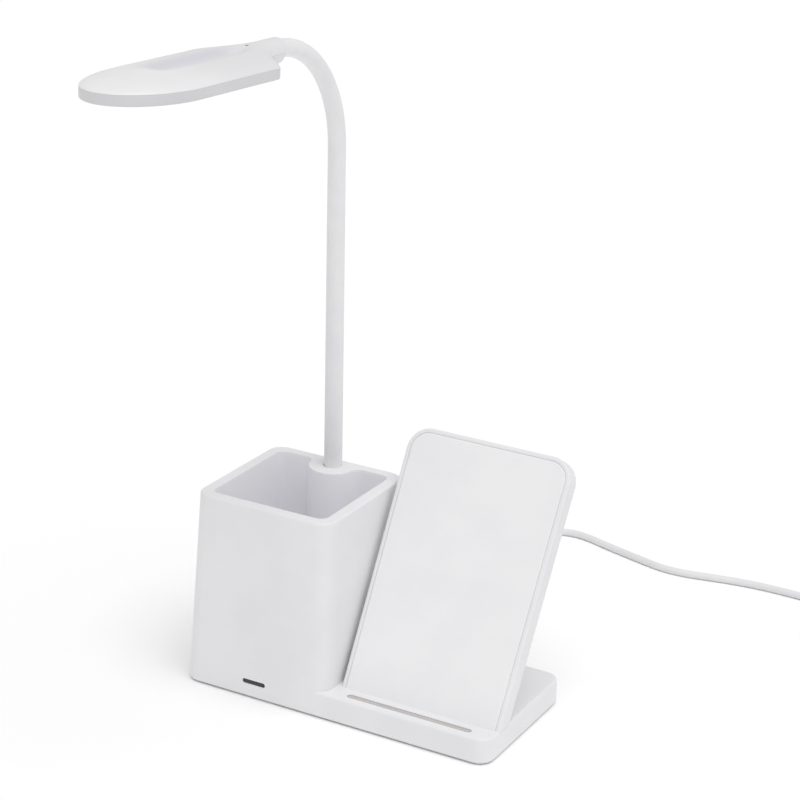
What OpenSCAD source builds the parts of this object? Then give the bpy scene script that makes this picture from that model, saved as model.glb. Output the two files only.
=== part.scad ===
// Desk lamp on a base with a pen cup and a leaning wireless charging rest.
// Millimetres. Origin: centre of the base's footprint, on the desk.
// +X to the right, +Y to the back, +Z up.

/* [Base] */
// Width of the base, left to right
base_w = 190; // [175:1:220]
// Depth of the base, front to back
base_d = 93.5; // [88:0.5:110]
// Height of the base's top face above the desk
base_t = 15.5; // [14.5:0.5:19]
// Radius of the base's upright corners
base_corner_r = 9; // [8:0.5:14]
// Rounding of the lower edges
edge_r = 4; // [2:0.5:4.5]
// Rounding of the base's top edge
top_edge_r = 1.5; // [1:0.5:2.5]
// Wall of the base mouldings
wall = 2.2; // [1.8:0.1:2.8]
// Thickness of the bottom cover
cover_t = 2.4; // [2:0.1:3]
// Thickness of the anti-slip pad under the base
pad_t = 0.8; // [0.5:0.1:1.5]
// How far the pad stays in from the bottom cover's edge
pad_margin = 1.5; // [1:0.5:8]

/* [Pen cup] */
// Width of the cup at the desk
cup_w = 91.5; // [86:0.5:100]
// Height of the cup's rim above the desk
cup_h = 113; // [105:1:130]
// Draft of the cup's outer walls, in degrees
cup_draft = 1.75; // [0.5:0.25:2.5]
// Radius of the cup's upright corners
cup_corner_r = 9; // [8:0.5:14]
// Width of the rim
rim_w = 6.75; // [6.2:0.05:8]
// Radius of the corners inside the cup
liner_corner_r = 5; // [3:0.5:8]
// Draft of the cup's inner walls, in degrees
liner_draft = 1; // [0.5:0.25:1.5]
// Wall of the cup's liner
liner_wall = 2; // [1.6:0.1:2.4]
// Height of the cup's inner floor above the desk
cup_floor = 18.5; // [18:0.5:24]
// Rounding of the rim's edges
rim_edge_r = 1.2; // [0.6:0.1:1.8]

/* [Neck socket] */
// Radius of the boss that the neck stands in
boss_r = 13.5; // [12.5:0.5:15]
// Distance from the back of the base to the neck's axis
neck_inset = 13; // [12:0.5:16]
// Radius of the ferrule that turns in the boss
ferrule_r = 5.6; // [5.4:0.1:6]
// Length of the ferrule
ferrule_len = 16; // [10:1:24]
// Radius of the ferrule's flange
flange_r = 6.8; // [6.6:0.1:7.2]
// Thickness of the flange
flange_t = 3; // [2:0.5:4]
// Wall of the bush that the ferrule turns in
bush_wall = 1.2; // [1:0.1:1.3]
// Thickness of the boss over the ferrule
boss_cap_t = 4; // [3:0.5:6]
// Height of the retaining ring under the flange
retainer_t = 4; // [3:0.5:6]

/* [Neck] */
// Radius of the flexible steel hose
hose_r = 4; // [3.6:0.1:4.4]
// Radius of the hose's bore
hose_bore_r = 1.6; // [1.3:0.1:2]
// Wall of the silicone sleeve
sleeve_wall = 0.9; // [0.7:0.1:1.4]
// Radius of the two-core lead in the hose
wire_r = 1.1; // [0.8:0.1:1.2]
// Straight length of the neck above the rim
neck_straight = 183.5; // [160:0.5:220]
// Radius of the bend at the top
bend_r = 64; // [55:1:80]
// Angle of the bend at the top, in degrees
bend_angle = 87.6; // [80:0.2:92]
// Sideways lean of the neck, in degrees
neck_lean = 1.3; // [0:0.1:4]
// Height of the first bending place above the rim
lean_start = 24; // [18:1:30]
// Distance between the two lower bending places
lean_step = 48; // [40:1:60]

/* [Lamp head] */
// Width of the head
head_w = 56.8; // [50:0.2:66]
// Length of the head from the neck's end to the tip
head_len = 156.5; // [140:0.5:180]
// Length of the head's rounded tip
tip_len = 43; // [34:1:56]
// Distance from the neck's end to the shoulders
shoulder_u = 43.5; // [40:0.5:50]
// Height of the skirt
skirt_h = 5.5; // [5.3:0.1:7]
// Depth of the skirt's top below the neck's axis
skirt_top = 1.1; // [1:0.1:1.8]
// Height of the crown over the skirt
crown_h = 6.2; // [6:0.1:9]
// Depth of the dish in the crown
dish_depth = 3.3; // [2:0.1:3.6]
// Half width of the dish
dish_half_w = 9.5; // [8:0.5:14]
// Wall of the head's mouldings
head_wall = 1.8; // [1.5:0.1:2.1]
// Half width of the collar round the neck
collar_half_w = 7.6; // [7.2:0.1:8.4]
// Height of the collar over the neck's axis
collar_h = 6; // [5.9:0.1:7]
// Radius of the collar's underside
collar_under_r = 7.8; // [7.6:0.1:9.2]
// Thickness of the opal diffuser
diffuser_t = 1.4; // [1:0.1:1.8]
// Width of the frame round the diffuser
diffuser_margin = 4.5; // [3.5:0.5:7]

/* [Charging rest] */
// Lean of the rest from upright, in degrees
panel_angle = 30.5; // [25:0.5:35]
// Length of the rest along its slope
panel_len = 150; // [135:1:165]
// Thickness of the rest
panel_t = 11; // [10:0.5:14]
// Radius of the rest's top corners
panel_corner_r = 13; // [8:1:18]
// Rounding of the rest's edges
panel_edge_r = 1.2; // [0.6:0.1:1.8]
// Gap between the cup and the rest
panel_gap = 2; // [1:0.1:4]
// Inward slope of the rest's left side, per mm of its length
panel_side_slope = 0.019; // [0:0.001:0.024]
// Distance from the base's front to the rest's face
panel_setback = 13.9; // [11:0.1:18]
// Width of the rim round the front plate
plate_inset = 2.6; // [2:0.1:4]
// Thickness of the front plate
plate_t = 2; // [1.5:0.1:2.5]
// Height of the front plate over its rim
plate_proud = 0.3; // [0:0.1:0.6]
// Length of the grip strip in front of the rest
strip_len = 75.5; // [50:0.5:80]
// Width of the grip strip
strip_w = 3.9; // [3:0.1:5]
// Distance from the base's front to the grip strip's middle
strip_setback = 6.6; // [5:0.1:8]
// Distance from the base's right side to the grip strip's end
strip_inset = 13; // [10:0.5:20]
// Depth of the grip strip's slot
strip_depth = 1.3; // [0.8:0.1:1.6]
// Distance of the charging coil's middle up the rest
coil_up = 84; // [70:1:95]
// Outer radius of the charging coil
coil_r = 22; // [18:0.5:26]

/* [Status window] */
// Length of the status window
window_len = 14.5; // [8:0.5:20]
// Height of the status window
window_h = 2.6; // [2:0.1:3.5]
// Height of the window's middle above the desk
window_z = 10; // [9:0.1:11]

/* [Cord] */
// Diameter of the cord
cord_d = 4.4; // [3.6:0.1:5]
// Place of the cord's exit, right of the base's middle
cord_x = -25; // [-35:1:-10]
// Height of the cord's exit above the desk
cord_z = 8.5; // [8:0.1:9]
// Length of the strain relief outside the base
relief_len = 20; // [14:1:30]

/* [Screws] */
// Radius of the bottom cover's screws
screw_r = 1.3; // [1:0.1:1.5]
// Radius of their heads
screw_head_r = 2.6; // [2.2:0.1:3]
// Radius of the screw posts
post_r = 3.6; // [3.2:0.1:4.2]

/* [Coil and plug] */
// Inner radius of the coil's turns, at the cord's middle
coil_in = 14; // [13:0.5:20]
// Thickness of the tie round the coil
tie_t = 0.8; // [0.6:0.1:1.2]
// Width of the tie
tie_w = 8; // [6:1:14]
// Width of the plug's grip
plug_w = 15.6; // [15:0.2:18]
// Height of the plug's grip
plug_h = 8.2; // [7.6:0.2:9.6]
// Length of the plug's grip
plug_len = 27; // [22:1:34]

/* [Hidden] */

$fn = 48;
eps = 0.01;        // thin slice and overcut
fit_gap = 0.15;    // gap between pieces that are put together
run_gap = 0.05;    // gap of a turning fit
white = [0.93, 0.93, 0.94];
steel = [0.62, 0.63, 0.65];
screw_steel = [0.6, 0.6, 0.62];
board_green = [0.1, 0.35, 0.2];
lead_red = [0.8, 0.25, 0.2];

// ---- places worked out from the driving sizes ----
cup_x = -base_w / 2 + cup_w / 2;
neck_x = cup_x;
neck_y = base_d / 2 - neck_inset;
body_z = pad_t;
sleeve_bore = hose_r + 0.1;
sleeve_r = sleeve_bore + sleeve_wall;
cup_lean = tan(cup_draft);
liner_lean = tan(liner_draft);
floor_t = 2.5;                           // thickness of the cup's floor
lip = edge_r + 1.6;                      // lower lip of the shell, inside which the cover sits
cavity_in = wall + 0.3;
screw_sink = 1.4;                        // depth of the screws' seats in the cover
cover_top = body_z + cover_t;
deck_under = base_t - wall;              // underside of the base's top face
post_in = 16;                            // the posts' distance from the base's sides
cup_posts = [for (y = [-1, 1]) [-base_w / 2 + post_in, y * (base_d / 2 - post_in)]];
base_posts = [[base_w / 2 - post_in, -base_d / 2 + post_in],
    [base_w / 2 - post_in, base_d / 2 - post_in + 3], [4, base_d / 2 - 11]];
post_places = concat(cup_posts, base_posts);
panel_left = cup_x + cup_w / 2 + panel_gap;
panel_right = base_w / 2;
panel_y = -base_d / 2 + panel_setback;
rest_x = (panel_left + panel_right) / 2;
panel_rise = [cos(90 - panel_angle), sin(90 - panel_angle)];
// A point of the rest, given across, up its slope and out of its face
function on_rest(p) = [p[0], panel_y + p[1] * panel_rise[0] - p[2] * panel_rise[1],
    base_t + p[1] * panel_rise[1] + p[2] * panel_rise[0]];
// The foot of the rest, from its face to its back, on the base's top
foot_depth = panel_t / panel_rise[1];
rest_foot_y = panel_y + foot_depth / 2 + 1.2;

// ---- plain shapes ----
module rrect(w, d, r) {
    square([w - 2 * r, d], center = true);
    square([w, d - 2 * r], center = true);
    for (x = [-1, 1], y = [-1, 1])
        translate([x * (w / 2 - r), y * (d / 2 - r)]) circle(r);
}

// A convex block through levels [z, x0, x1, y0, y1, corner radius]
module lofted(levels) {
    hull() for (l = levels)
        translate([(l[1] + l[2]) / 2, (l[3] + l[4]) / 2, l[0]])
            linear_extrude(eps) rrect(l[2] - l[1], l[4] - l[3], l[5], $fn = 32);
}

// Levels [z, inset] of a side with its lower and upper edges rounded
function edge_levels(z0, z1, r0, r1) = concat(
    [for (a = [90:-30:0]) [z0 + r0 * (1 - sin(a)), r0 * (1 - cos(a))]],
    [for (a = [0:45:90]) [z1 - eps - r1 * (1 - sin(a)), r1 * (1 - cos(a))]]);

module ring(r, bore, h) {
    difference() {
        cylinder(r = r, h = h);
        translate([0, 0, -1]) cylinder(r = bore, h = h + 2);
    }
}

// ---- base and cup ----
module cup_block(inset, z0, z1, r0, r1) {
    lofted([for (l = edge_levels(z0, z1, r0, r1))
        let (i = inset + l[1] + l[0] * cup_lean)
        [l[0], cup_x - cup_w / 2 + i, cup_x + cup_w / 2 - i, -base_d / 2 + i, base_d / 2 - i,
            max(cup_corner_r - inset - l[1], 1)]]);
}

// The cup's hollow, or its liner's outside: narrower towards the floor
liner_in = rim_w + cup_h * cup_lean;     // the hollow's distance from the cup's foot, at the rim
module liner_block(grow, z0, z1) {
    lofted([for (z = [z0, z1])
        let (i = liner_in - grow + (cup_h - z) * liner_lean)
        [z, cup_x - cup_w / 2 + i, cup_x + cup_w / 2 - i, -base_d / 2 + i, base_d / 2 - i,
            liner_corner_r + grow]]);
}

module base_block() {
    lofted([for (l = edge_levels(body_z, base_t, edge_r, top_edge_r))
        let (i = l[1] + l[0] * cup_lean)
        [l[0], cup_x, base_w / 2 - l[1], -base_d / 2 + i, base_d / 2 - i,
            max(base_corner_r - l[1], 1)]]);
}

// Plan of the boss, with a fillet on each side where it meets the liner
boss_fillet = 5;
module boss_plan() {
    // the fillets end a little inside the liner's wall
    fillet_y = base_d / 2 - liner_in - neck_y - boss_fillet + 0.1;
    side = sqrt(pow(boss_r + boss_fillet, 2) - pow(fillet_y, 2));
    back = base_d / 2 - cup_h * cup_lean - wall / 2 - neck_y;
    difference() {
        union() {
            circle(boss_r);
            translate([-side, fillet_y]) square([2 * side, boss_fillet + liner_wall]);
        }
        for (s = [-1, 1]) translate([s * side, fillet_y]) circle(boss_fillet);
        translate([-2 * side, back]) square([4 * side, 4 * boss_r]);
    }
}

module in_base(inset, z0, z1) {
    translate([0, 0, z0]) linear_extrude(z1 - z0)
        rrect(base_w - 2 * inset, base_d - 2 * inset, max(base_corner_r - inset, 1));
}

module base_cavity() {
    in_base(lip, body_z - 1, body_z + edge_r + eps);
    // under the base's top face, and a little higher under the cup
    in_base(cavity_in, body_z + edge_r, deck_under);
    translate([cup_x, 0, deck_under - eps])
        linear_extrude(cup_floor - floor_t - deck_under + eps)
            rrect(cup_w - 2 * cavity_in - 2, base_d - 2 * cavity_in - 2, cup_corner_r - cavity_in);
}

module post(p, top) {
    translate([p[0], p[1], cover_top]) difference() {
        cylinder(r = post_r, h = top + 0.5 - cover_top);
        translate([0, 0, -1]) cylinder(r = screw_r - 0.15, h = 8);
    }
}

window_x = cup_x;
window_y = -base_d / 2 + window_z * cup_lean;   // the cup's front face at the window
strip_x = base_w / 2 - strip_inset - strip_len / 2;
strip_y = -base_d / 2 + strip_setback;

module slot(len, w) {
    square([len - w, w], center = true);
    for (s = [-1, 1]) translate([s * (len - w) / 2, 0]) circle(w / 2);
}

module body_shell() color(white) {
    difference() {
        union() {
            difference() {
                union() {
                    base_block();
                    cup_block(0, body_z, cup_h, edge_r, rim_edge_r);
                }
                // hollow of the cup, and the gap between its two walls
                liner_block(0, cup_floor, cup_h + 1);
                difference() {
                    cup_block(wall, body_z - 1, cup_h - 3, eps, eps);
                    liner_block(liner_wall, cup_floor - floor_t, cup_h);
                }
            }
            translate([neck_x, neck_y, cup_floor - floor_t])
                linear_extrude(cup_h - cup_floor + floor_t) boss_plan();
        }
        base_cavity();
        // neck socket: the sleeve's way, the bush's seat and the flange's room
        translate([neck_x, neck_y, 0]) {
            cylinder(r = sleeve_r + 0.3, h = cup_h + 1);
            cylinder(r = bush_r, h = ferrule_top + 0.2);
            cylinder(r = flange_r + 0.3, h = bush_z);
        }
        translate([strip_x, strip_y, base_t - strip_depth])
            linear_extrude(strip_depth + 1) slot(strip_len, strip_w);
        translate([window_x, -base_d / 2 - 1, window_z]) rotate([-90, 0, 0])
            linear_extrude(8) slot(window_len, window_h);
        translate([cord_x, base_d / 2 + 1, cord_z]) rotate([90, 0, 0]) cylinder(r = relief_r, h = 8);
        // way for the rest's tongue, and its screws
        translate([rest_x, rest_foot_y, deck_under - 1]) linear_extrude(wall + 2)
            square([tongue_w + 2 * fit_gap, tongue_d + 2 * fit_gap], center = true);
        for (s = [-1, 1]) translate([rest_x + s * rest_screw_off, rest_foot_y, deck_under - 1])
            cylinder(r = screw_r + 0.2, h = wall + 2);
    }
    for (p = cup_posts) post(p, cup_floor - floor_t);
    for (p = base_posts) post(p, deck_under);
}

module bottom_cover() color(white) difference() {
    union() {
        in_base(lip + fit_gap, body_z, cover_top);
        for (p = board_posts) translate([p[0], p[1], cover_top - eps])
            cylinder(r = 2.4, h = board_z - cover_top + eps);
    }
    for (p = post_places) translate([p[0], p[1], body_z - 1]) {
        cylinder(r = screw_r + 0.3, h = 8);
        cylinder(r = screw_head_r + 0.3, h = 1 + screw_sink);
    }
    for (p = board_posts) translate([p[0], p[1], body_z + 1]) cylinder(r = 0.85, h = 20);
}

module grip_pad() color([0.82, 0.82, 0.83]) in_base(lip + fit_gap + pad_margin, 0, pad_t);

module cover_screws() color(screw_steel)
    for (p = post_places) translate([p[0], p[1], body_z + 0.2]) {
        cylinder(r = screw_head_r, h = screw_sink - 0.2);
        cylinder(r = screw_r - 0.2, h = 8);
    }

ballast_size = [50, 48, 9];
module ballast_plate() color([0.45, 0.46, 0.48])
    translate([cup_x, -12, cover_top]) linear_extrude(ballast_size[2])
        rrect(ballast_size[0], ballast_size[1], 3);

// ---- electronics in the base ----
board_w = 58;
board_d = 34;
board_t = 1.6;
board_z = cover_top + 3;
board_x = 38;
board_y = 18;
board_posts = [for (x = [-1, 1], y = [-1, 1])
    [board_x + x * (board_w / 2 - 4), board_y + y * (board_d / 2 - 4)]];
socket_h = 3.4;

module main_board() color(board_green)
    translate([0, 0, board_z]) linear_extrude(board_t) difference() {
        translate([board_x, board_y]) square([board_w, board_d], center = true);
        for (p = board_posts) translate(p) circle(1.3);
    }

module board_parts() color([0.15, 0.15, 0.16])
    translate([board_x, board_y, board_z + board_t]) {
        // choke, controller chips, capacitors and the two lead sockets
        translate([-12, 8, 0]) cylinder(r = 4.5, h = 3.6);
        translate([4, 4, 0]) linear_extrude(1.4) square([8, 8], center = true);
        translate([14, 6, 0]) linear_extrude(1.1) square([5, 4], center = true);
        for (x = [-4, 4]) translate([x - 4, -8, 0]) cylinder(r = 2.5, h = 3.5);
        translate([-board_w / 2 + 3, -1, 0]) linear_extrude(socket_h) square([6, 8], center = true);
        translate([rest_x - board_x, -board_d / 2 + 3, 0]) linear_extrude(socket_h)
            square([8, 6], center = true);
    }

module board_screws() color(screw_steel)
    for (p = board_posts) translate([p[0], p[1], board_z + board_t]) {
        cylinder(r = 1.8, h = 1);
        translate([0, 0, -5]) cylinder(r = 0.8, h = 5);
    }

// A point k from p towards q
function towards(p, q, k) = p + k * (q - p) / norm(q - p);
// Points of a path with its corners bent over k to each side
function bent(p, k) = concat([p[0]],
    [for (i = [1:len(p) - 2])
        let (a = towards(p[i], p[i - 1], k), b = towards(p[i], p[i + 1], k))
        each [a, (a + 2 * p[i] + b) / 4, b]],
    [p[len(p) - 1]]);

// A tube along points; up is level with none of its runs, and the ends are square to theirs
module tube(points, r, sides, up = [0, 0, 1]) {
    n = len(points);
    run = function(i) let (d = points[min(i + 1, n - 1)] - points[max(i - 1, 0)]) d / norm(d);
    rings = [for (i = [0:n - 1])
        let (d = run(i), side = cross(d, up), a = side / norm(side), b = cross(a, d))
        for (j = [0:sides - 1]) points[i] + r * (a * cos(360 * j / sides) + b * sin(360 * j / sides))];
    at = function(i, j) i * sides + j % sides;
    polyhedron(rings, concat(
        [for (i = [0:n - 2], j = [0:sides - 1]) [at(i, j), at(i, j + 1), at(i + 1, j)]],
        [for (i = [0:n - 2], j = [0:sides - 1]) [at(i, j + 1), at(i + 1, j + 1), at(i + 1, j)]],
        [for (j = [1:sides - 2]) [at(0, 0), at(0, j + 1), at(0, j)]],
        [for (j = [1:sides - 2]) [at(n - 1, 0), at(n - 1, j), at(n - 1, j + 1)]]));
}

supply_r = 1.5;
charge_r = 0.9;
lamp_socket = [board_x - board_w / 2 + 7, board_y + 4];
module inner_leads() {
    // supply, from the strain relief to the board's left socket
    color([0.85, 0.85, 0.85]) tube(bent([[cord_x, base_d / 2 - relief_in - 0.1, cord_z],
        [cord_x, board_y - 1, cord_z], [board_x - board_w / 2 - 0.1, board_y - 1, cord_z]], 6),
        supply_r, 8);
    // lamp, from the neck's foot under the supply lead to the board
    color(lead_red) tube(bent([[neck_x, neck_y, retainer_z - 1], [neck_x, neck_y, lamp_lead_z],
        [lamp_socket[0], lamp_socket[1], lamp_lead_z], [lamp_socket[0], lamp_socket[1], board_z - 0.1]],
        1.2), wire_r, 8, [neck_y - lamp_socket[1], lamp_socket[0] - neck_x, 0]);
    // charging, from the board's front socket up into the rest
    color([0.85, 0.85, 0.85]) tube(bent([[rest_x, board_y - board_d / 2 - 0.1, charge_z],
        on_rest([rest_x, -4, charge_out]),
        on_rest([rest_x, coil_up - coil_r - 8, charge_out])], 4), charge_r, 8, [1, 0, 0]);
}
lamp_lead_z = cover_top + 1.4;
charge_out = -panel_t / 2 - 1.2;         // depth of the charging lead in the rest
charge_z = on_rest([0, -4, charge_out])[2];

module status_window() color([0.16, 0.16, 0.17])
    translate([window_x, window_y + 0.15, window_z]) rotate([-90, 0, 0])
        linear_extrude(2.6) slot(window_len - 0.2, window_h - 0.2);

module status_board() color(board_green)
    translate([window_x, window_y + 3.6, window_z]) rotate([-90, 0, 0]) {
        linear_extrude(1) square([18, 6], center = true);
        for (x = [-1, 1]) translate([x * 4, 0, -0.7]) linear_extrude(0.7)
            square([3, 1.6], center = true);
    }

// ---- charging rest: x across, y up the slope, z out of its face ----

module on_panel() {
    translate([0, panel_y, base_t]) rotate([90 - panel_angle, 0, 0]) children();
}

tongue_w = 30;
tongue_d = 8;
rest_screw_off = 26;

module panel_plan(inset) {
    offset(r = panel_corner_r - inset) offset(delta = -panel_corner_r)
        polygon([[panel_left, -2 * panel_t], [panel_right, -2 * panel_t], [panel_right, panel_len],
            [panel_left - panel_side_slope * panel_len, panel_len]]);
}

module above(y) {
    intersection() {
        children();
        translate([-base_w, y]) square([2 * base_w, 2 * panel_len]);
    }
}

module panel_block() {
    hull() for (l = edge_levels(-panel_t, 0, panel_edge_r, panel_edge_r))
        translate([0, 0, l[0]]) linear_extrude(eps) above(-4) panel_plan(l[1], $fn = 32);
}

module rest_casing() color(white) difference() {
    union() {
        difference() {
            on_panel() panel_block();
            on_panel() {
                // seat of the front plate, and the hollow behind it
                translate([0, 0, -plate_t]) linear_extrude(plate_t + 1)
                    above(0) panel_plan(plate_inset, $fn = 32);
                translate([0, 0, -panel_t + wall]) linear_extrude(panel_t - wall - plate_t + eps)
                    above(-12) panel_plan(plate_inset + 2.4, $fn = 32);
            }
            // flat foot on the base
            translate([-base_w, -base_d, base_t - 60]) cube([2 * base_w, 2 * base_d, 60]);
        }
        // floor of the rest, its tongue through the base's top face, and its screw bosses
        translate([rest_x, rest_foot_y, base_t]) linear_extrude(1.6)
            square([panel_right - panel_left - 8, foot_depth - 4.6], center = true);
        translate([rest_x, rest_foot_y, deck_under - 1]) linear_extrude(wall + 1.1)
            square([tongue_w, tongue_d], center = true);
        for (s = [-1, 1]) translate([rest_x + s * rest_screw_off, rest_foot_y, base_t])
            cylinder(r = 2.6, h = 4.2);
    }
    // way for the charging lead, and the screws' holes
    translate([rest_x, rest_foot_y - 0.2, deck_under - 2]) linear_extrude(wall + 4)
        square([tongue_w - 4, tongue_d - 2.2], center = true);
    for (s = [-1, 1]) translate([rest_x + s * rest_screw_off, rest_foot_y, base_t - 1])
        cylinder(r = screw_r - 0.15, h = 6);
}

module rest_screws() color(screw_steel)
    for (s = [-1, 1]) translate([rest_x + s * rest_screw_off, rest_foot_y, deck_under]) {
        translate([0, 0, -1.2]) cylinder(r = screw_head_r, h = 1.15);
        translate([0, 0, -0.5]) cylinder(r = screw_r - 0.2, h = wall + 4.5);
    }

module front_plate() color(white) difference() {
    on_panel() difference() {
        translate([0, 0, -plate_t + eps]) linear_extrude(plate_t + plate_proud - eps)
            above(-1) panel_plan(plate_inset + fit_gap, $fn = 32);
        // shallow pocket for the coil behind the plate
        translate([rest_x, coil_up, -plate_t - 1]) cylinder(r = coil_r + 1, h = 1.6);
    }
    // flat foot just over the base
    translate([-base_w, -base_d, base_t + fit_gap - 60]) cube([2 * base_w, 2 * base_d, 60]);
}

module charging_coil() color([0.75, 0.42, 0.2])
    on_panel() translate([rest_x, coil_up, -plate_t - 0.6]) ring(coil_r, coil_r * 0.46, 1.1);

module ferrite_sheet() color([0.2, 0.2, 0.21])
    on_panel() translate([rest_x, coil_up, -plate_t - 1.45])
        linear_extrude(0.8) rrect(2 * coil_r + 4, 2 * coil_r + 4, 3);

module charger_board() color(board_green)
    on_panel() translate([rest_x, coil_up, -plate_t - 2.7]) {
        linear_extrude(1.2) rrect(2 * coil_r + 4, 2 * coil_r + 12, 2);
        for (x = [-10, 4, 14]) translate([x, -coil_r + 4, -1.6])
            linear_extrude(1.6) square([7, 6], center = true);
    }

module grip_strip() color([0.8, 0.78, 0.77])
    translate([strip_x, strip_y, base_t - strip_depth])
        linear_extrude(strip_depth - 0.1) slot(strip_len - 0.3, strip_w - 0.3);

// ---- neck root ----
ferrule_top = cup_h - boss_cap_t - 0.2;
ferrule_z = ferrule_top - ferrule_len;   // underside of the ferrule, where its flange starts
bush_z = ferrule_z + 0.1;
bush_r = ferrule_r + run_gap + bush_wall;
retainer_z = ferrule_z - flange_t - 0.1 - retainer_t;

module neck_bush() color([0.86, 0.86, 0.84])
    translate([neck_x, neck_y, bush_z]) ring(bush_r, ferrule_r + run_gap, ferrule_len - 0.1);

module neck_retainer() color([0.7, 0.7, 0.72])
    translate([neck_x, neck_y, retainer_z]) ring(flange_r + 0.3, hose_bore_r + 1.4, retainer_t);

module neck_ferrule() color([0.72, 0.73, 0.75])
    translate([neck_x, neck_y, 0]) difference() {
        union() {
            translate([0, 0, ferrule_z]) cylinder(r = ferrule_r, h = ferrule_len);
            translate([0, 0, ferrule_z - flange_t]) cylinder(r = flange_r, h = flange_t);
        }
        cylinder(r = hose_r + run_gap, h = cup_h);
    }

// ---- neck: the bend lies in the y-z plane of a frame that leans a little to the left ----
lean_z = cup_h + lean_start;             // height of the first bending place
arc_z = neck_straight - lean_start;      // start of the bend over that place
bend_step = bend_angle / 4;              // between the bending places on the bend
socket_gap = 1.7;                        // from a bending place to the next link's edge
sleeve_gap = 1.15;                       // from a bending place to the sleeve's edge
lead_gap = 0.6;                          // from a bending place to the lead's end
ball_gap = 0.06;                         // round a link's ball
ball_step = 0.15;                        // from a ball's radius to that of a link on the bend
flare_r = hose_bore_r + hose_r * tan(bend_step);   // mouth of a ball's bore

module on_neck() {
    translate([neck_x, neck_y, lean_z]) rotate([0, -neck_lean, 0]) children();
}
// A frame at angle a on the bend, z along the neck
module at_bend(a) {
    translate(bend_place(a)) rotate([a, 0, 0]) children();
}
// A turn of the profile children() from angle a0 to a1 on the bend
module along_bend(a0, a1) {
    translate([0, -bend_r, arc_z]) rotate([90, 0, 90]) rotate([0, 0, a0])
        rotate_extrude(angle = a1 - a0, $fn = 96) translate([bend_r, 0]) children();
}
function arc_deg(mm) = mm / bend_r * 180 / PI;
function bend_place(a) = [0, bend_r * (cos(a) - 1), arc_z + bend_r * sin(a)];

module pipe(r, bore) {
    difference() {
        circle(r);
        circle(bore);
    }
}
// The outer half of a link's ball, with the bore's flared mouth
module half_ball() {
    rotate_extrude() difference() {
        intersection() {
            circle(hose_r);
            square(hose_r);
        }
        polygon([[-1, -1], [hose_bore_r, -1], [hose_bore_r, 0], [flare_r, hose_r], [-1, hose_r]]);
    }
}

// A straight link, from the bending place at its foot to the one at its top
module straight_hose(len) {
    difference() {
        union() {
            translate([0, 0, socket_gap]) ring(hose_r, hose_bore_r, len - socket_gap);
            translate([0, 0, len]) half_ball();
        }
        sphere(r = hose_r + ball_gap);
    }
}
module straight_sleeve(len) {
    translate([0, 0, sleeve_gap]) ring(sleeve_r, sleeve_bore, len - 2 * sleeve_gap);
}
module straight_lead(len) {
    translate([0, 0, lead_gap]) cylinder(r = wire_r, h = len - 2 * lead_gap);
}

// A link on the bend, from angle a0 to a1, a little thinner than its ball
module bend_hose(a0, a1) {
    difference() {
        union() {
            along_bend(a0 + arc_deg(socket_gap), a1) circle(hose_r - ball_step);
            at_bend(a1) sphere(r = hose_r);
        }
        along_bend(a0 - 4, a1 + 2) circle(hose_bore_r);
        at_bend(a0) sphere(r = hose_r + ball_gap);
        at_bend(a1) translate([0, 0, -1])
            cylinder(r1 = hose_bore_r - tan(bend_step), r2 = flare_r, h = hose_r + 1);
    }
}
module bend_sleeve(a0, a1) {
    along_bend(a0 + arc_deg(sleeve_gap), a1 - arc_deg(sleeve_gap)) pipe(sleeve_r, sleeve_bore);
}
module bend_lead(a0, a1) {
    along_bend(a0 + arc_deg(lead_gap), a1 - arc_deg(lead_gap)) circle(wire_r);
}

module hose_0() color(steel) translate([neck_x, neck_y, 0]) {
    translate([0, 0, ferrule_z - flange_t])
        ring(hose_r, hose_bore_r, lean_z - ferrule_z + flange_t);
    translate([0, 0, lean_z]) half_ball();
}
module hose_1() color(steel) on_neck() straight_hose(lean_step);
module hose_2() color(steel) on_neck() translate([0, 0, lean_step]) straight_hose(arc_z - lean_step);
module hose_3() color(steel) on_neck() bend_hose(0, bend_step);
module hose_4() color(steel) on_neck() bend_hose(bend_step, 2 * bend_step);
module hose_5() color(steel) on_neck() bend_hose(2 * bend_step, 3 * bend_step);
module hose_6() color(steel) on_neck() difference() {
    union() {
        along_bend(3 * bend_step + arc_deg(socket_gap), bend_angle)
            pipe(hose_r - ball_step, hose_bore_r);
        at_bend(bend_angle) difference() {
            translate([0, 0, -0.3]) ring(hose_r, hose_bore_r + 0.2, head_run + 0.3);
            translate([0, 0, clip_u]) ring(hose_r + 1, hose_r - 0.5, clip_t + 0.1);
        }
    }
    at_bend(3 * bend_step) sphere(r = hose_r + ball_gap);
}
head_run = 16;                            // length of the hose inside the head

module sleeve_0() color(white) translate([neck_x, neck_y, ferrule_top + 0.5])
    ring(sleeve_r, sleeve_bore, lean_z - sleeve_gap - ferrule_top - 0.5);
module sleeve_1() color(white) on_neck() straight_sleeve(lean_step);
module sleeve_2() color(white) on_neck() translate([0, 0, lean_step])
    straight_sleeve(arc_z - lean_step);
module sleeve_3() color(white) on_neck() bend_sleeve(0, bend_step);
module sleeve_4() color(white) on_neck() bend_sleeve(bend_step, 2 * bend_step);
module sleeve_5() color(white) on_neck() bend_sleeve(2 * bend_step, 3 * bend_step);
module sleeve_6() color(white) on_neck() {
    along_bend(3 * bend_step + arc_deg(sleeve_gap), bend_angle) pipe(sleeve_r, sleeve_bore);
    // straight end in the collar
    at_bend(bend_angle) translate([0, 0, -0.3])
        ring(sleeve_r + 0.1, sleeve_bore + 0.15, sleeve_run + 0.3);
}
sleeve_run = 4.8;                         // length of the sleeve past the bend

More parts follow.
